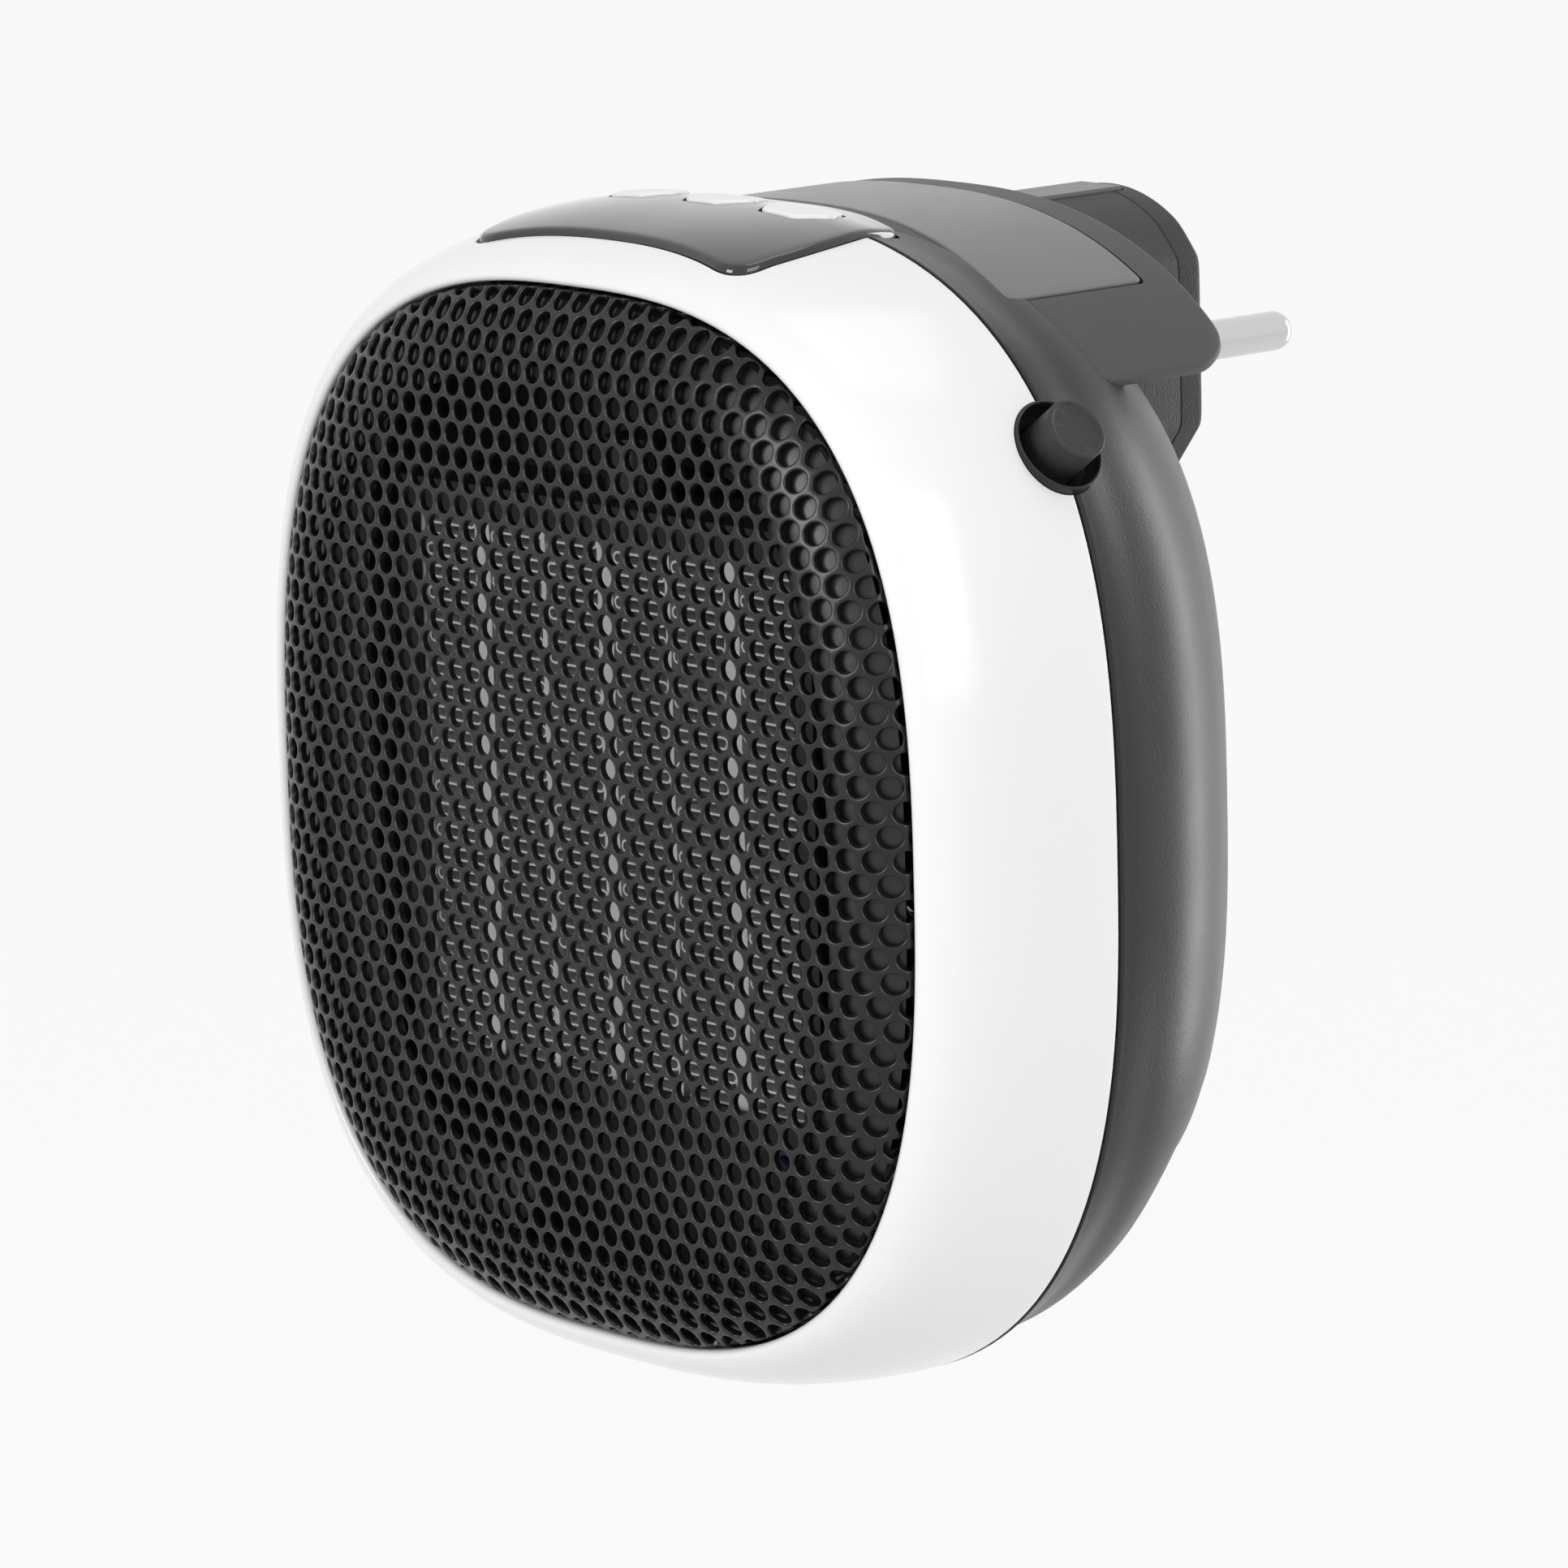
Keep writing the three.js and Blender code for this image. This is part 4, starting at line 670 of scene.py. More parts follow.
# Rear shell, as tables of y and inset. Between these heights its sides have no shoulder.
SIDE_INSETS = [(30, 0), (33, 0.25), (37, 0.8), (41, 1.6), (45, 2.9), (49, 4.9), (53, 7.6),
               (57, 10.9), (61, 14.55), (64.2, 17.95), (66.9, 22.4), (69, 29)]
SIDE_LOW_Z, SIDE_HIGH_Z, SIDE_SOFT_Y = (-50, -36), (54, 62), (46, 68)
REAR_INNER_INSETS = [(66.9, 27.4), (64.6, 21.5), (61.5, 17.0), (57.5, 14.6), (53.6, 13.9),
                     (51.6, 12.6), (49.5, 8.2), (45.0, 5.9), (40.5, 4.3), (36.0, 3.4),
                     (REAR_START_Y, 2.1)]
REAR_INNER_EXTRA_Z = 0.4
REAR_ROWS, EDGE_RUN, JUST_BEFORE = 30, 0.5, 1e-6


def rear_profile():
    """Points (y, inset) evenly spread over the outside, with the crease at the shoulder kept."""
    rows = []
    for low, high in ((SEAM_Y, SHOULDER_Y), (SHOULDER_Y, REAR_Y)):
        y = np.linspace(low, high, 1200)
        y[-1] -= JUST_BEFORE if high == SHOULDER_Y else 0
        rows.append(even(columns(y, rear_inset(y)), REAR_ROWS, closed=False))
    return np.concatenate([rows[0], rows[1][1:]])


def side_share():
    """1 for the points of a ring that lie at the sides, and 0 at the top and the bottom."""
    z = squircle(SEAM_X, SEAM_Z, FRONT_N, 0, ANGLES)[:, 2]
    return smoothstep(z, *SIDE_LOW_Z) * (1 - smoothstep(z, *SIDE_HIGH_Z))


def rear_shell():
    at_side = side_share()
    rings = [squircle(SEAM_X - inset, SEAM_Z - inset, FRONT_N, REAR_START_Y + run, ANGLES)
             for inset, run in SEAM_ROUND]
    for y, inset in rear_profile():
        if y < REAR_START_Y + EDGE_RUN:
            continue
        square = soft = section(y)[2]
        if y > VISOR_Y:
            soft = REAR_N + (DECK_N - REAR_N) * smoothstep(y, *SIDE_SOFT_Y)
        square = square * (1 - at_side) + soft * at_side
        inset = inset + (monotone(SIDE_INSETS, y) - inset) * at_side
        half_x, half_z = SEAM_X - inset, SEAM_Z - INSET_Z_SHARE * inset
        rings.append(squircle(half_x, half_z, square, y, ANGLES))
    half_x, half_z = SEAM_X - REAR_INSET, SEAM_Z - INSET_Z_SHARE * REAR_INSET
    for y, shares in ((REAR_Y, (0.985, 0.9, 0.7, 0.45, 0.2, 0)), (REAR_Y - WALL, (0, 0.5))):
        rings += [squircle(half_x * s, half_z * s, DECK_N, y, ANGLES) for s in shares]
    for y, inset in REAR_INNER_INSETS:
        half_x, half_z = SEAM_X - inset, SEAM_Z - INSET_Z_SHARE * inset - REAR_INNER_EXTRA_Z
        rings.append(squircle(half_x, half_z, section(y)[2], y, ANGLES))
    return loft(rings, loop=True)


# The sleeve that holds the plug, and the air intake slots below it, whose ends follow an oval
SLEEVE_RADIUS, SLEEVE_BORE, SLEEVE_HOLE_RADIUS = 21.4, 19.4, 20.3
SLOT_COUNT, SLOT_SHARE, SLOT_ROUND, SLOT_OVAL, SLOT_START_X = 10, 0.48, 0.49, 1.15, 1.5
SLOT_HALF_X = SEAM_X - REAR_INSET - 3.7
SLOT_TOP_Z = PLUG_Z - SLEEVE_RADIUS - 5.3
SLOT_BOTTOM_Z = 10.3 + INSET_Z_SHARE * REAR_INSET - SEAM_Z


def slot_tools():
    tools = []
    middle = (SLOT_TOP_Z + SLOT_BOTTOM_Z) / 2
    pitch = (SLOT_TOP_Z - SLOT_BOTTOM_Z) / SLOT_COUNT
    height = pitch * SLOT_SHARE
    half_z = (SLOT_TOP_Z - middle) * SLOT_OVAL
    for k in range(SLOT_COUNT):
        rise = (k - (SLOT_COUNT - 1) / 2) * pitch
        reach = SLOT_HALF_X * sqrt(1 - (rise / half_z) ** 2)
        corners = box(SLOT_START_X, reach, -height / 2, height / 2)
        slot = rounded(corners, height * SLOT_ROUND, 5, closed=True)
        for side in (-1, 1):
            outline = slot * (side, 1) + (0, middle + rise)
            ends = (REAR_Y - WALL - TOOL_EXTRA, REAR_Y + 2)
            tools.append(loft([at_y(outline, y) for y in ends]))
    return joined(*tools)


def well_tools():
    """The wells in which the case screws lie."""
    return joined(*[rod(WELL_RADIUS, SCREW_SEAT_Y, REAR_Y + 4, POST_STEPS, on_y(*post))
                    for post in POSTS])


# Visor: a bent plate whose front edge lies inside the shell, with the label strip let into it
VISOR_HALF_X, VISOR_HALF_Z, VISOR_N = SEAM_X - 2.7, SEAM_Z - 1.0, 2.5
VISOR_REACH, VISOR_END_Y, VISOR_THICK, VISOR_CORNER = 46.8, 66.4, 2.5, 5.5
LABEL_REACH, LABEL_Y, LABEL_END_Y, LABEL_BULGE, LABEL_POINTS = 36.6, 39.3, 61.0, 2.3, 300
LABEL_PROUD, LABEL_THICK, LABEL_POCKET, LABEL_RINGS = 0.15, 0.8, 1.15, 24


def visor_curve(x):
    return curve_height(x, VISOR_HALF_X, VISOR_HALF_Z, VISOR_N)


def arc_table():
    """Places along the visor's curve, and how far along it they lie from its middle."""
    x = np.linspace(-VISOR_REACH, VISOR_REACH, 4001)
    run = run_along(columns(x, visor_curve(x)))
    return x, run - run[-1] / 2


ARC_X, ARC_RUN = arc_table()
ARC_HALF = ARC_RUN[-1]


def on_visor(lift):
    """Bends (distance along the arc, y) into the visor's surface."""
    def place(points, height):
        x = np.interp(points[:, 0], ARC_RUN, ARC_X)
        step = 0.01
        slope = (visor_curve(x + step) - visor_curve(x - step)) / (2 * step)
        normal = columns(-slope, np.ones_like(x)) / np.sqrt(1 + slope ** 2)[:, None]
        base = columns(x, visor_curve(x)) + normal * (lift + height)
        return at_y(base, points[:, 1])
    return place


def label_outline(margin):
    reach = np.interp(LABEL_REACH + margin, ARC_X, ARC_RUN)
    low, high = LABEL_Y - margin, LABEL_END_Y + margin
    curve = quadratic((-reach, low), (0, low + 2 * LABEL_BULGE), (reach, low), 80)
    rest = np.array([(reach, low), (reach, high), (-reach, high)])
    return softened(even(np.concatenate([curve, rest]), LABEL_POINTS), OUTLINE_SOFT)


def label_tool():
    return cutter(label_outline(GAP), LABEL_POCKET, on_visor, LABEL_RINGS)


on_plug = on_y(0, PLUG_Z)
sleeve_hole = rod(SLEEVE_HOLE_RADIUS, 40, 75, 96, on_plug)
rear_tools = [*pocket_tools(), cup_tool(), slot_tools(), well_tools(), sleeve_hole, label_tool()]
show("rear_shell_skin", carved("rear_shell_skin", rear_shell(), rear_tools), GREY, "housing",
     ["rear_shell"])

visor_corners = box(-ARC_HALF, ARC_HALF, VISOR_Y, VISOR_END_Y)
visor_plan = rounded(visor_corners, [0, 0, VISOR_CORNER, VISOR_CORNER], 10, closed=True)
visor_part = slab(even(visor_plan, 400), VISOR_THICK, on_visor(0), 0.7, 0.9, rings=30)
show("visor", carved("visor", visor_part, [label_tool()], solver="MANIFOLD"), VISOR, "housing",
     ["rear_shell"])
label_part = slab(label_outline(0), LABEL_THICK, on_visor(LABEL_PROUD), 0.3, 0.1, LABEL_RINGS)
piece("label_plate", label_part, LABEL, "housing", ["label_strip"])

# Sleeve of the plug: radius and y round its section, with the bearing that the barrel turns in
BARREL_Y, BEARING_Y, BEARING_END_Y, SLEEVE_END_Y = 44.6, 47.8, 58.0, 67.2
BEARING_BORE, SLEEVE_MOUTH = 17.3, 18.5
sleeve = [(SLEEVE_RADIUS, BARREL_Y), (SLEEVE_RADIUS, SLEEVE_END_Y), (SLEEVE_BORE, SLEEVE_END_Y),
          (SLEEVE_BORE, BEARING_END_Y), (BEARING_BORE, BEARING_END_Y), (BEARING_BORE, BEARING_Y),
          (SLEEVE_MOUTH, BEARING_Y), (SLEEVE_MOUTH, BARREL_Y)]
sleeve_edges = [0.2, 0.5, 0.4, 0.2, 0.3, 0.2, 0.2, 0.2]
piece("plug_sleeve", turned(sleeve, sleeve_edges, 3, 128, on_plug, closed=True), GREY, "housing",
      ["rear_shell"])


def rear_posts():
    """Tubes round the screws that end just inside the outer skin."""
    parts = []
    ys = np.linspace(SEAM_Y + 1, REAR_Y, 800)
    half_x, half_z, square = section(ys)
    for post in POSTS:
        outer, inner, hole = (columns(*circle_of(radius, POST_STEPS)) + post
                              for radius in (REAR_POST_RADIUS, WELL_RADIUS, SCREW_HOLE_RADIUS))
        ends = []
        for circle in (outer, inner):
            x, z = np.abs(circle).T[:, :, None]
            inside = (x / half_x) ** square + (z / half_z) ** square < 1
            reach = np.where(inside.all(1), REAR_Y, ys[np.argmin(inside, axis=1)])
            ends.append(at_y(circle, reach - REAR_POST_SUNK))
        parts.append(loft([at_y(outer, REAR_START_Y), *ends, at_y(inner, SCREW_SEAT_Y),
                           at_y(hole, SCREW_SEAT_Y), at_y(hole, REAR_START_Y)], loop=True))
    return joined(*parts)


piece("rear_shell_posts", rear_posts(), GREY, "housing", ["rear_shell"])


# Grille: six-sided cells with a round hole in each, bent over a dome and back behind the lip
HOLE_PITCH, HOLE_RADIUS, RIM_ROUND, SHEET_T = 3.2, 1.25, 0.22, 0.9
HOLE_START_X, HOLE_START_Z, CELL_ROWS, CELL_COLUMNS = 4.4, 2.1, 26, 24
CELL_POINTS, CELL_REACH = 24, 2.2
WEB_MARGIN, WEB_FALL, RIM_FALL, RIM_ANGLES = 0.02, 0.002, 0.004, np.radians([20, 55, 90])
CROWN, ROLL, ROLL_WIDTH, RIM_GAP, FLANGE_FALL, FLANGE_TURN = 1.7, 4.3, 14.0, 0.4, 1.1, 4
BACKING_INSETS, BACKING_DEPTHS = np.linspace(0.8, 10.2, 16), (SHEET_T + 0.40, SHEET_T + 0.95)


def inset_of(x, z):
    """How far inside the opening's outline a point lies."""
    low, high = np.full_like(x, -30.0), np.full_like(x, OPEN_X - 1e-3)
    for _ in range(40):
        mid = (low + high) / 2
        share_x, share_z = np.abs(x) / (OPEN_X - mid), np.abs(z) / (OPEN_Z - mid)
        inside = share_x ** FRONT_N + share_z ** FRONT_N < 1
        low, high = np.where(inside, mid, low), np.where(inside, high, mid)
    return (low + high) / 2


def grille_depth(inset):
    roll = ROLL * np.maximum(1 - inset / ROLL_WIDTH, 0) ** 3
    return CROWN * (1 - inset / OPEN_X) ** 2 + roll


def grille():
    turn = np.arange(CELL_POINTS) / CELL_POINTS * 2 * pi
    # Four points to each of a cell's six sides, with corners at the top and the bottom
    spoke = (turn + pi / 6) % (pi / 3) - pi / 6
    hexagon = HOLE_PITCH / 2 / np.cos(spoke)
    # Radius and depth, from the cell's edge over the hole's rounded rim and through to the back
    rows = [(hexagon, 0.0), (HOLE_RADIUS + RIM_ROUND + WEB_MARGIN, WEB_FALL)]
    for a in RIM_ANGLES:
        rows.append((HOLE_RADIUS + RIM_ROUND * (1 - sin(a)), RIM_FALL + RIM_ROUND * (1 - cos(a))))
    rows += [(HOLE_RADIUS, SHEET_T), (hexagon, SHEET_T)]
    pitch_z = HOLE_PITCH * sqrt(3) / 2
    cells = np.array([(HOLE_START_X + HOLE_PITCH * (i + (j % 2) / 2), HOLE_START_Z + pitch_z * j)
                      for j in range(-CELL_ROWS, CELL_ROWS + 1)
                      for i in range(-CELL_COLUMNS, CELL_COLUMNS + 1)])
    cells = cells[inset_of(*cells.T) > -CELL_REACH]
    rings = np.array([columns(r * np.cos(turn), r * np.sin(turn)) for r, _ in rows])
    x, z = np.moveaxis(cells[:, None, None] + rings, -1, 0)
    depth = np.broadcast_to(np.array([d for _, d in rows])[:, None], x.shape)
    starts = np.arange(len(cells)) * len(rows) * CELL_POINTS
    faces = np.array(lattice(len(rows), CELL_POINTS)) + starts[:, None, None]
    verts = bend_sheet(x.ravel(), z.ravel(), depth.ravel())
    return verts, faces.reshape(-1, 4).tolist()


def bend_sheet(x, z, depth):
    """Bends the flat sheet. Points beyond the rim slide back to it and go down behind the lip."""
    inset = inset_of(x, z)
    over = np.maximum(RIM_GAP - inset, 0)
    held = np.maximum(inset, RIM_GAP)
    half_x, half_z = OPEN_X - inset, OPEN_Z - inset
    # The direction outwards across the outline, from the outline's own gradient
    out_x = np.sign(x) * (np.abs(x) / half_x) ** (FRONT_N - 1) / half_x
    out_z = np.sign(z) * (np.abs(z) / half_z) ** (FRONT_N - 1) / half_z
    norm = np.hypot(out_x, out_z) + 1e-9
    out_x, out_z = out_x / norm, out_z / norm
    # The slope of the surface in that direction, which tips the sheet's thickness
    step = 0.01
    slope = (grille_depth(held - step) - grille_depth(held + step)) / (2 * step)
    slope = np.where(over > 0, slope + over * FLANGE_TURN, slope)
    length = np.sqrt(1 + slope ** 2)
    y = grille_depth(held) + over * FLANGE_FALL + depth / length
    x = x * ((OPEN_X - held) / half_x) - out_x * slope / length * depth
    z = z * ((OPEN_Z - held) / half_z) - out_z * slope / length * depth
    return columns(x, y, z)


piece("grille_sheet", grille(), SHEET, "housing", ["front_grille"], sharp=50)


def backing():
    """A ring close behind the outer holes, which look blind."""
    rings = []
    for depth, insets in zip(BACKING_DEPTHS, (BACKING_INSETS, BACKING_INSETS[::-1])):
        for inset in insets:
            ring = squircle(OPEN_X - inset, OPEN_Z - inset, FRONT_N, 0, ANGLES)
            rings.append(bend_sheet(ring[:, 0], ring[:, 2], np.full(len(ring), depth)))
    return loft(rings, loop=True)


piece("grille_backing", backing(), BACKING, "housing", ["front_grille"])


# Keys: rounded hexagons on stems that end on the switches, each held by a flange under the panel
KEY_HALF_X, KEY_HALF_Y, KEY_NOSE, KEY_SOFT, KEY_POINTS = 5.4, 3.9, 2.6, 1.5, 140
KEY_Y, KEY_SPACING, KEY_SMALLER, KEY_THICK, KEY_PROUD, KEY_CROWN = 29.6, 13.3, 0.02, 2.1, 0.32, 0.14
STEM_RADIUS, STEM_EDGE, STEM_SUNK, SWITCH_HEIGHT, PLUNGER_HEIGHT = 1.2, 0.2, 1.9, 3.4, 0.8
FLANGE_MARGIN, FLANGE_THICK, FLANGE_DROP = 0.8, 0.8, 0.8
KEYS = {"key_left": -KEY_SPACING, "key_middle": 0.0, "key_right": KEY_SPACING}
PEG_RADIUS, PEG_TOP_Z = 1.5, 66.3
PEGS = [(17, 17), (-17, 17), (KEY_SPACING / 2, 34.2), (-KEY_SPACING / 2, 34.2)]


def key_outline(margin):
    length, width = KEY_HALF_X + margin, KEY_HALF_Y + margin
    nose = length - KEY_NOSE
    corners = [(length, 0), (nose, width), (-nose, width), (-length, 0), (-nose, -width),
               (nose, -width)]
    return softened(even(corners, KEY_POINTS), KEY_SOFT)


def key_tool(x):
    return prism_z(key_outline(GAP) + (x, KEY_Y), BOARD_TOP_Z, SEAM_Z + 6)


panel_part = slab(panel_outline(0, 320), PANEL_PROUD + PANEL_SUNK, on_skin(PANEL_PROUD), 0.65, 0.1,
                  rings=22, steps=5)
key_tools = joined(*[key_tool(x) for x in KEYS.values()])
show("panel_plate", carved("panel_plate", panel_part, [key_tools]), PANEL, "housing",
     ["control_panel"])
pegs = joined(*[rod(PEG_RADIUS, BOARD_TOP_Z + GAP, PEG_TOP_Z, 24, on_z(*peg), 0.2) for peg in PEGS])
piece("panel_pegs", pegs, PANEL, "housing", ["control_panel"])


def key_part(x):
    half = np.max(np.abs(key_outline(0)), axis=0)
    outline = key_outline(-KEY_SMALLER)

    def on_cap(points, height):
        share = np.clip(np.hypot(*(points / half).T), 0, 1)
        moved = points + (x, KEY_Y)
        crown = KEY_CROWN * (1 - share ** 2)
        return at_z(moved, soft_skin(*moved.T) + PANEL_PROUD + KEY_PROUD + crown + height)

    def on_flange(points, height):
        return at_z(points + (x, KEY_Y), high - FLANGE_DROP + height)

    cap = slab(outline, KEY_THICK, on_cap, 0.3, 0.1, rings=9)
    low = BOARD_TOP_Z + SWITCH_HEIGHT + PLUNGER_HEIGHT
    high = on_cap(outline * 0, -STEM_SUNK)[0, 2]
    stem = rod(STEM_RADIUS, low, high, 24, on_z(x, KEY_Y), STEM_EDGE)
    flange = slab(key_outline(FLANGE_MARGIN), FLANGE_THICK, on_flange, 0.1, 0.1, rings=3)
    return joined(cap, stem, flange)


for name, x in KEYS.items():
    piece(name + "_cap", key_part(x), KEY, name, [name])

# Side cup and power button: radius and height along the button's axis
BUTTON_RADIUS, BUTTON_TOP, CUP_LIP, CUP_HOLE, CUP_FLOOR = 3.75, 4.0, 0.45, 1.8, 0.8 - CUP_DEPTH
CUP_BORE, CUP_MOUTH = BUTTON_RADIUS + GAP, CUP_RADIUS - 0.3
cup = [(CUP_HOLE, -CUP_DEPTH), (CUP_RADIUS, -CUP_DEPTH), (CUP_RADIUS, CUP_LIP),
       (CUP_MOUTH, CUP_LIP), (CUP_MOUTH - 0.15, -0.7), (CUP_MOUTH - 0.6, -1.8), (CUP_BORE, -2.6),
       (CUP_BORE, CUP_FLOOR), (CUP_HOLE, CUP_FLOOR)]
cup_edges = [0.1, 0.1, 0.14, 0.14, 0.8, 0.8, 0.3, 0.1, 0.1]
piece("cup_dish", turned(cup, cup_edges, 5, 96, on_button, closed=True), CUP, "housing",
      ["switch_cup"])
button = [(0, -5), (1.5, -5), (1.5, -2.3), (BUTTON_RADIUS, -2.3), (BUTTON_RADIUS, BUTTON_TOP),
          (3.3, BUTTON_TOP), (3.1, 3.86), (0, 3.8)]
button_edges = [0, 0.1, 0.1, 0.2, 0.28, 0.1, 0.1, 0]
piece("button_cap", turned(button, button_edges, 5, 96, on_button), BUTTON, "power_button",
      ["power_button"])


# Plug: round at the housing, with a flat and two chamfers on either side towards its face
PLUG_R, PLUG_FLAT, FLAT_Y, BARREL_END_Y, BARREL_STEPS = 19.1, 14.9, 62.0, 87.62, 180
CHAMFER_TURN, LOW_CHAMFER_OUT, HIGH_CHAMFER_OUT, EDGE_SOFT = radians(38), 2.2, 3.8, 0.5
DISC_THICK, DISC_ROUND, BARREL_EDGE = 4, 1.1, 0.15
POCKET_HALF, POCKET_DEPTH, POCKET_Y, POCKET_END_Y = 3.8, 1.1, 74.0, 89.6


def flatted(rows):
    """Rings of a round bar with flat sides; rows hold radius, y and the flat's distance."""
    rings = []
    for radius, y, flat in rows:
        x, z = circle_of(radius, BARREL_STEPS)
        for across, most in ((CHAMFER_TURN, flat + HIGH_CHAMFER_OUT),
                             (-CHAMFER_TURN, flat + LOW_CHAMFER_OUT), (0.0, flat)):
            nx, nz = np.sign(x) * cos(across), sin(across)
            reach = x * nx + z * nz
            # Points near the plane or beyond it are drawn in, which rounds its edges
            over = reach - most + EDGE_SOFT
            soft = most - EDGE_SOFT * np.exp(-np.clip(over, 0, 20) / EDGE_SOFT)
            held = np.where(over > 0, soft, reach)
            x, z = x + (held - reach) * nx, z + (held - reach) * nz
        rings.append(at_y(columns(x, z + PLUG_Z), y))
    return rings


# A flat as far out as this cuts nothing
FAR = 60.0
barrel = [(0, BARREL_Y, FAR), (15.8, BARREL_Y, FAR), (16, 44.8, FAR), (16, BEARING_Y, FAR),
          (17, BEARING_Y, FAR), (17, 58.3, FAR), (18.9, 58.3, FAR), (PLUG_R, 58.6, FAR),
          (PLUG_R, FLAT_Y - 0.3, FAR), (PLUG_R - 0.1, FLAT_Y, PLUG_R - 0.3),
          (PLUG_R, FLAT_Y + 0.02, PLUG_FLAT + 0.4), (PLUG_R, FLAT_Y + 0.4, PLUG_FLAT),
          (PLUG_R, BARREL_END_Y - BARREL_EDGE, PLUG_FLAT),
          (PLUG_R - 0.04, BARREL_END_Y - 0.04, PLUG_FLAT - 0.04),
          (PLUG_R - BARREL_EDGE, BARREL_END_Y, PLUG_FLAT - BARREL_EDGE),
          (0, BARREL_END_Y, PLUG_FLAT)]
disc_y = PLUG_FACE_Y - DISC_THICK
disc = [(0, disc_y, PLUG_FLAT), (PLUG_R - BARREL_EDGE, disc_y, PLUG_FLAT - BARREL_EDGE),
        (PLUG_R, disc_y + BARREL_EDGE, PLUG_FLAT)]
for a in np.linspace(0, pi / 2, 6):
    drop, back = DISC_ROUND * (1 - cos(a)), DISC_ROUND * (1 - sin(a))
    disc.append((PLUG_R - drop, PLUG_FACE_Y - back, PLUG_FLAT - drop))
disc.append((0, PLUG_FACE_Y, PLUG_FLAT))

# Pockets of the two earth strips, at the top and the bottom
pocket_corners = box(-POCKET_HALF, POCKET_HALF, POCKET_Y, POCKET_END_Y)
pocket_plan = rounded(pocket_corners, 0.3, 2, closed=True)
pockets = []
for side in (-1, 1):
    reaches = (PLUG_R - POCKET_DEPTH, PLUG_R + TOOL_EXTRA)
    pockets.append(prism_z(pocket_plan, *sorted(PLUG_Z + side * reach for reach in reaches)))
for name, rows, node in (("plug_barrel", barrel, "plug_body"), ("plug_disc", disc, "plug_face")):
    whole = loft(flatted(rows), caps=False)
    show(name, carved(name, whole, [joined(*pockets)]), PLUG, "plug", [node])

# Collars round the pins, and the pins, which start inside the plug
PIN_R, PIN_X, PIN_Y, PIN_END_Y = 2.4, 9.5, 79.7, PLUG_FACE_Y + 19
COLLAR_RADIUS, COLLAR_BORE, COLLAR_Y, COLLAR_FLOOR_Y = 3.7, 2.7, 90.5, 91.0
COLLAR_END_Y = PLUG_FACE_Y + 1.4
collar = [(0, COLLAR_Y), (COLLAR_RADIUS, COLLAR_Y), (COLLAR_RADIUS, COLLAR_END_Y),
          (COLLAR_BORE, COLLAR_END_Y), (COLLAR_BORE, COLLAR_FLOOR_Y), (0, COLLAR_FLOOR_Y)]
collar_edges = [0, 0.1, 0.35, 0.15, 0.1, 0]
collars = [turned(collar, collar_edges, 4, 56, on_y(side * PIN_X, PLUG_Z)) for side in (-1, 1)]
piece("plug_collars", joined(*collars), PLUG, "plug", ["plug_face"])
pin = [(0, PIN_Y), (PIN_R, PIN_Y), (PIN_R, 92.0)]
for a in np.linspace(0, pi / 2, 10):
    pin.append((PIN_R * cos(a), PIN_END_Y - PIN_R + PIN_R * sin(a)))
for name, side in (("pin_left", -1), ("pin_right", 1)):
    piece(name + "_turned", lathe(pin, 64, on_y(side * PIN_X, PLUG_Z)), NICKEL, "plug",
          [name])


# Heating core: a thin folded strip in each column, between a heating bar and a thinner plate
CORE_Y, CORE_DEPTH, COLUMN, COLUMNS = 9.6, 12.0, 11.05, 6
BAR_THICK, PLATE_THICK, FIN_PLAY = 2.6, 0.8, 0.2
FOLD, FOLD_COUNT, FIN_HALF_T = 1.3, 50, 0.14


def fin_strip(column):
    side = 1 if column % 2 == 0 else -1
    centre = (column - (COLUMNS - 1) / 2) * COLUMN + side * (PLATE_THICK - BAR_THICK) / 4
    half = (COLUMN - (BAR_THICK + PLATE_THICK) / 2) / 2 - FIN_PLAY
    radius = FOLD / 2
    path = []
    for k in range(FOLD_COUNT):
        z = (k - (FOLD_COUNT - 1) / 2) * FOLD
        side = 1 if k % 2 == 0 else -1
        path += [(-side * (half - radius), z), (side * (half - radius), z)]
        if k < FOLD_COUNT - 1:
            for a in np.linspace(-pi / 2, pi / 2, 6)[1:-1]:
                reach = half - radius + radius * cos(a)
                path.append((side * reach, z + radius + radius * sin(a)))
    path = np.array(path)
    along = np.gradient(path, axis=0)
    along /= np.linalg.norm(along, axis=1)[:, None]
    normal = columns(-along[:, 1], along[:, 0]) * FIN_HALF_T
    over, under = path + normal + (centre, 0), path - normal + (centre, 0)
    front, rear = CORE_Y + FIN_PLAY, CORE_Y + CORE_DEPTH - FIN_PLAY
    corners = ((over, front), (over, rear), (under, rear), (under, front))
    return loft(np.stack([at_y(outline, y) for outline, y in corners], 1))


for k in range(COLUMNS):
    piece(f"fin_strip_{k + 1}", fin_strip(k), FIN, "housing",
          [f"fin_pack_{k + 1}"])
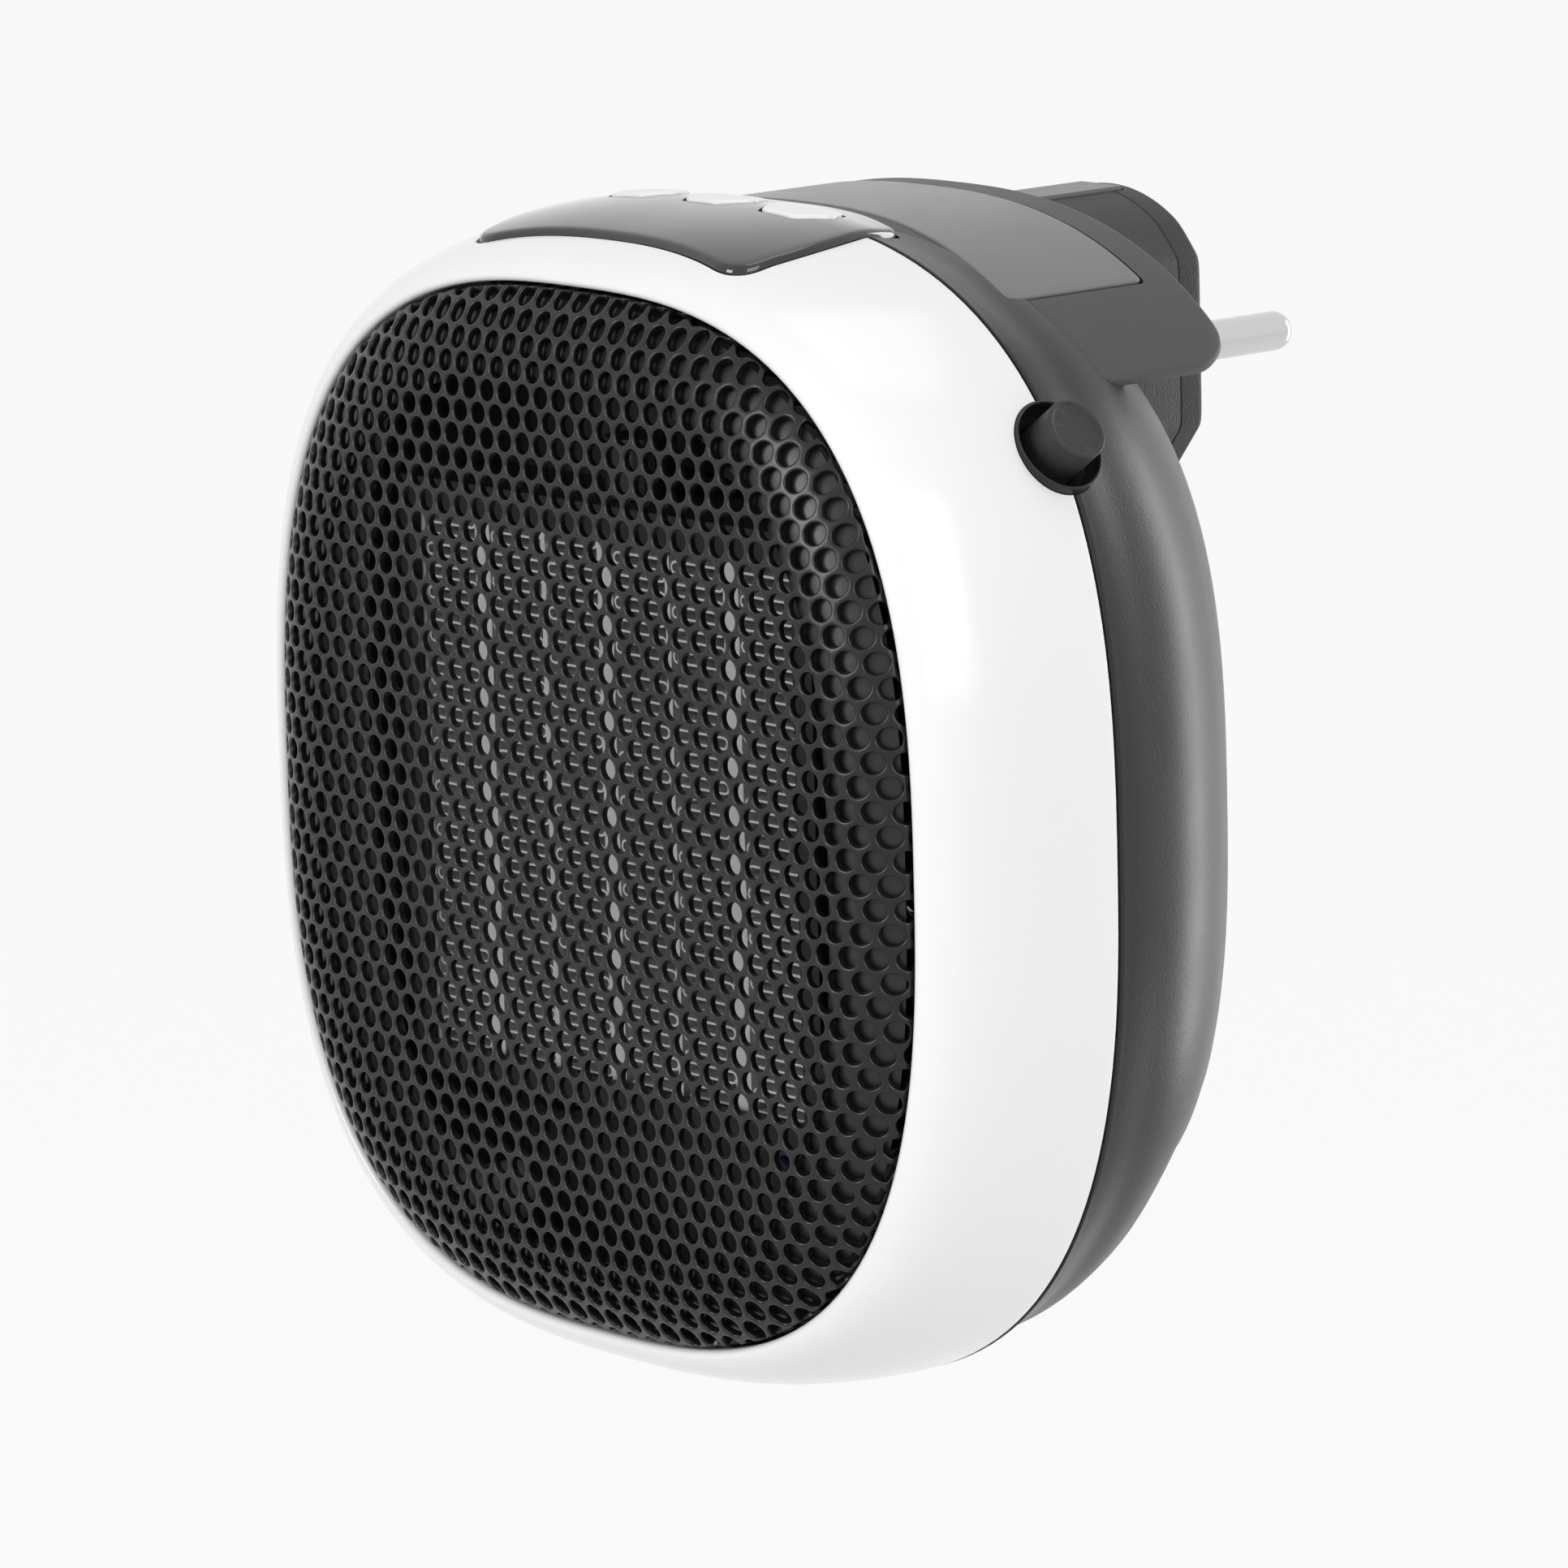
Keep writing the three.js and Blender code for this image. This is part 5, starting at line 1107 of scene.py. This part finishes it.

# Solids that stay as they are get finer edges and their own finish; the earth clips' finish is
# nickel darkened as painted shade
BEVEL_WIDTH, BEVEL_TURN = 0.18 * MM, radians(40)
FINISHES = [
    (MATT, "core_frame", "fan_shroud", "plug_retainer"),
    (ALLOY, "heater_bar_1", "heater_bar_2", "heater_bar_3", "divider_plate_1", "divider_plate_2",
     "end_plate_left", "end_plate_right"),
    (STEEL, "terminal_1", "terminal_2", "terminal_3", "motor_shaft", "motor_body",
     "case_screw_1", "case_screw_2", "case_screw_3", "case_screw_4"),
    (DARK, "thermal_cutout"), (FAN, "fan_impeller"), (BOARD, "power_board", "control_board"),
    (RELAY, "relay"), (YELLOW, "capacitor"), (DISPLAY, "display_module"),
    (SWITCH, "key_switch_left", "key_switch_middle", "key_switch_right", "switch_body"),
    (SHADED_CLIP, "earth_clip_top", "earth_clip_bottom"), (BROWN, "plug_lead_left", "heater_lead_left"),
    (BLUE, "plug_lead_right", "heater_lead_right"),
]
for finish, *names in FINISHES:
    for name in names:
        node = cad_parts[name]
        if not node.material_slots:
            node.data.materials.append(finish)
        for slot in node.material_slots:
            slot.material = finish
        bevel = node.modifiers.new("edges", "BEVEL")
        bevel.width = BEVEL_WIDTH
        bevel.segments = 2
        bevel.limit_method = "ANGLE"
        bevel.angle_limit = BEVEL_TURN
        bevel.harden_normals = True

# Floor, backdrop, lamps and camera, in metres. The heater hangs by its pins, as in a wall socket,
# so the floor lies well below it.
PALE, GLOW_SHARE, FLOOR_DROP, FLOOR_HALF, SKY_LIGHT = 0.75, 0.9, 0.26, 8.0, 0.50
AIM = Vector((0.0, -0.045, -0.045))


def seen_directly(nodes, links):
    """1 for camera, glossy and transmitted rays, which see the background as it is, else 0."""
    rays = nodes.new("ShaderNodeLightPath")
    total = rays.outputs["Is Camera Ray"]
    for kind in ("Is Glossy Ray", "Is Transmission Ray"):
        most = nodes.new("ShaderNodeMath")
        most.operation = "MAXIMUM"
        links.new(total, most.inputs[0])
        links.new(rays.outputs[kind], most.inputs[1])
        total = most.outputs[0]
    return total


def floor():
    mesh = bpy.data.meshes.new("floor")
    low = min(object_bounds()[0][2], CAD_BOX[0][2]) - FLOOR_DROP
    corners = at_z(box(-FLOOR_HALF, FLOOR_HALF, -FLOOR_HALF, FLOOR_HALF), low)
    mesh.from_pydata(corners.tolist(), [], [(0, 1, 2, 3)])
    obj = linked("floor", mesh)
    mat = bpy.data.materials.new("floor_pale")
    mat.use_nodes = True
    nodes, links = mat.node_tree.nodes, mat.node_tree.links
    shader = put(nodes["Principled BSDF"], Base_Color=(PALE, PALE, PALE, 1), Roughness=0.9,
                 Specular_IOR_Level=0.1)
    glow = put(nodes.new("ShaderNodeEmission"), Color=(1, 1, 1, 1))
    mix = nodes.new("ShaderNodeMixShader")
    share = nodes.new("ShaderNodeMath")
    share.operation = "MULTIPLY"
    share.inputs[1].default_value = GLOW_SHARE
    links.new(seen_directly(nodes, links), share.inputs[0])
    links.new(share.outputs[0], mix.inputs[0])
    links.new(shader.outputs[0], mix.inputs[1])
    links.new(glow.outputs[0], mix.inputs[2])
    links.new(mix.outputs[0], nodes["Material Output"].inputs["Surface"])
    mesh.materials.append(mat)
    obj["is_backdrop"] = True


def backdrop():
    world = bpy.data.worlds.new("studio")
    bpy.context.scene.world = world
    world.use_nodes = True
    nodes, links = world.node_tree.nodes, world.node_tree.links
    choose = nodes.new("ShaderNodeMixShader")
    links.new(seen_directly(nodes, links), choose.inputs[0])
    skies = (nodes["Background"], SKY_LIGHT), (nodes.new("ShaderNodeBackground"), 1.0)
    for k, (sky, strength) in enumerate(skies):
        put(sky, Color=(1, 1, 1, 1), Strength=strength)
        links.new(sky.outputs[0], choose.inputs[k + 1])
    links.new(choose.outputs[0], nodes["World Output"].inputs["Surface"])


def lamp(name, place, size, power):
    data = bpy.data.lights.new(name, "AREA")
    data.shape = "RECTANGLE"
    data.size, data.size_y = size
    data.energy = power
    obj = linked(name, data)
    obj.location = place
    obj.rotation_euler = (AIM - Vector(place)).to_track_quat("-Z", "Y").to_euler()


floor()
backdrop()
lamp("key_light", (-0.22, -1.28, 0.32), (0.40, 0.62), 6.3)
lamp("side_light", (1.3, -0.40, 0.5), (1.0, 1.0), 9.3)
lamp("top_light", (0.1, 0.25, 1.3), (0.8, 0.8), 2.5)
lamp("rear_light", (0.10, 0.62, -0.05), (0.2, 0.6), 1.8)

AZIMUTH, ELEVATION, ROLL_TURN = radians(48.9), radians(11.1), radians(-1.5)
CAMERA_PLACE, LENS, SENSOR = (0.74845, -0.70844, 0.14835), 197.4, 36.0
back = Vector((sin(AZIMUTH) * cos(ELEVATION), -cos(AZIMUTH) * cos(ELEVATION), sin(ELEVATION)))
right = Vector((cos(AZIMUTH), sin(AZIMUTH), 0))
up = back.cross(right)
turned_right = right * cos(ROLL_TURN) + up * sin(ROLL_TURN)
turned_up = up * cos(ROLL_TURN) - right * sin(ROLL_TURN)
camera_data = bpy.data.cameras.new("camera")
camera_data.lens = LENS
camera_data.sensor_width = SENSOR
camera_data.sensor_fit = "HORIZONTAL"
camera = linked("camera", camera_data)
camera.matrix_world = Matrix((turned_right, turned_up, back)).transposed().to_4x4()
camera.location = CAMERA_PLACE
bpy.context.scene.camera = camera
bpy.context.scene.view_settings.view_transform = "Standard"
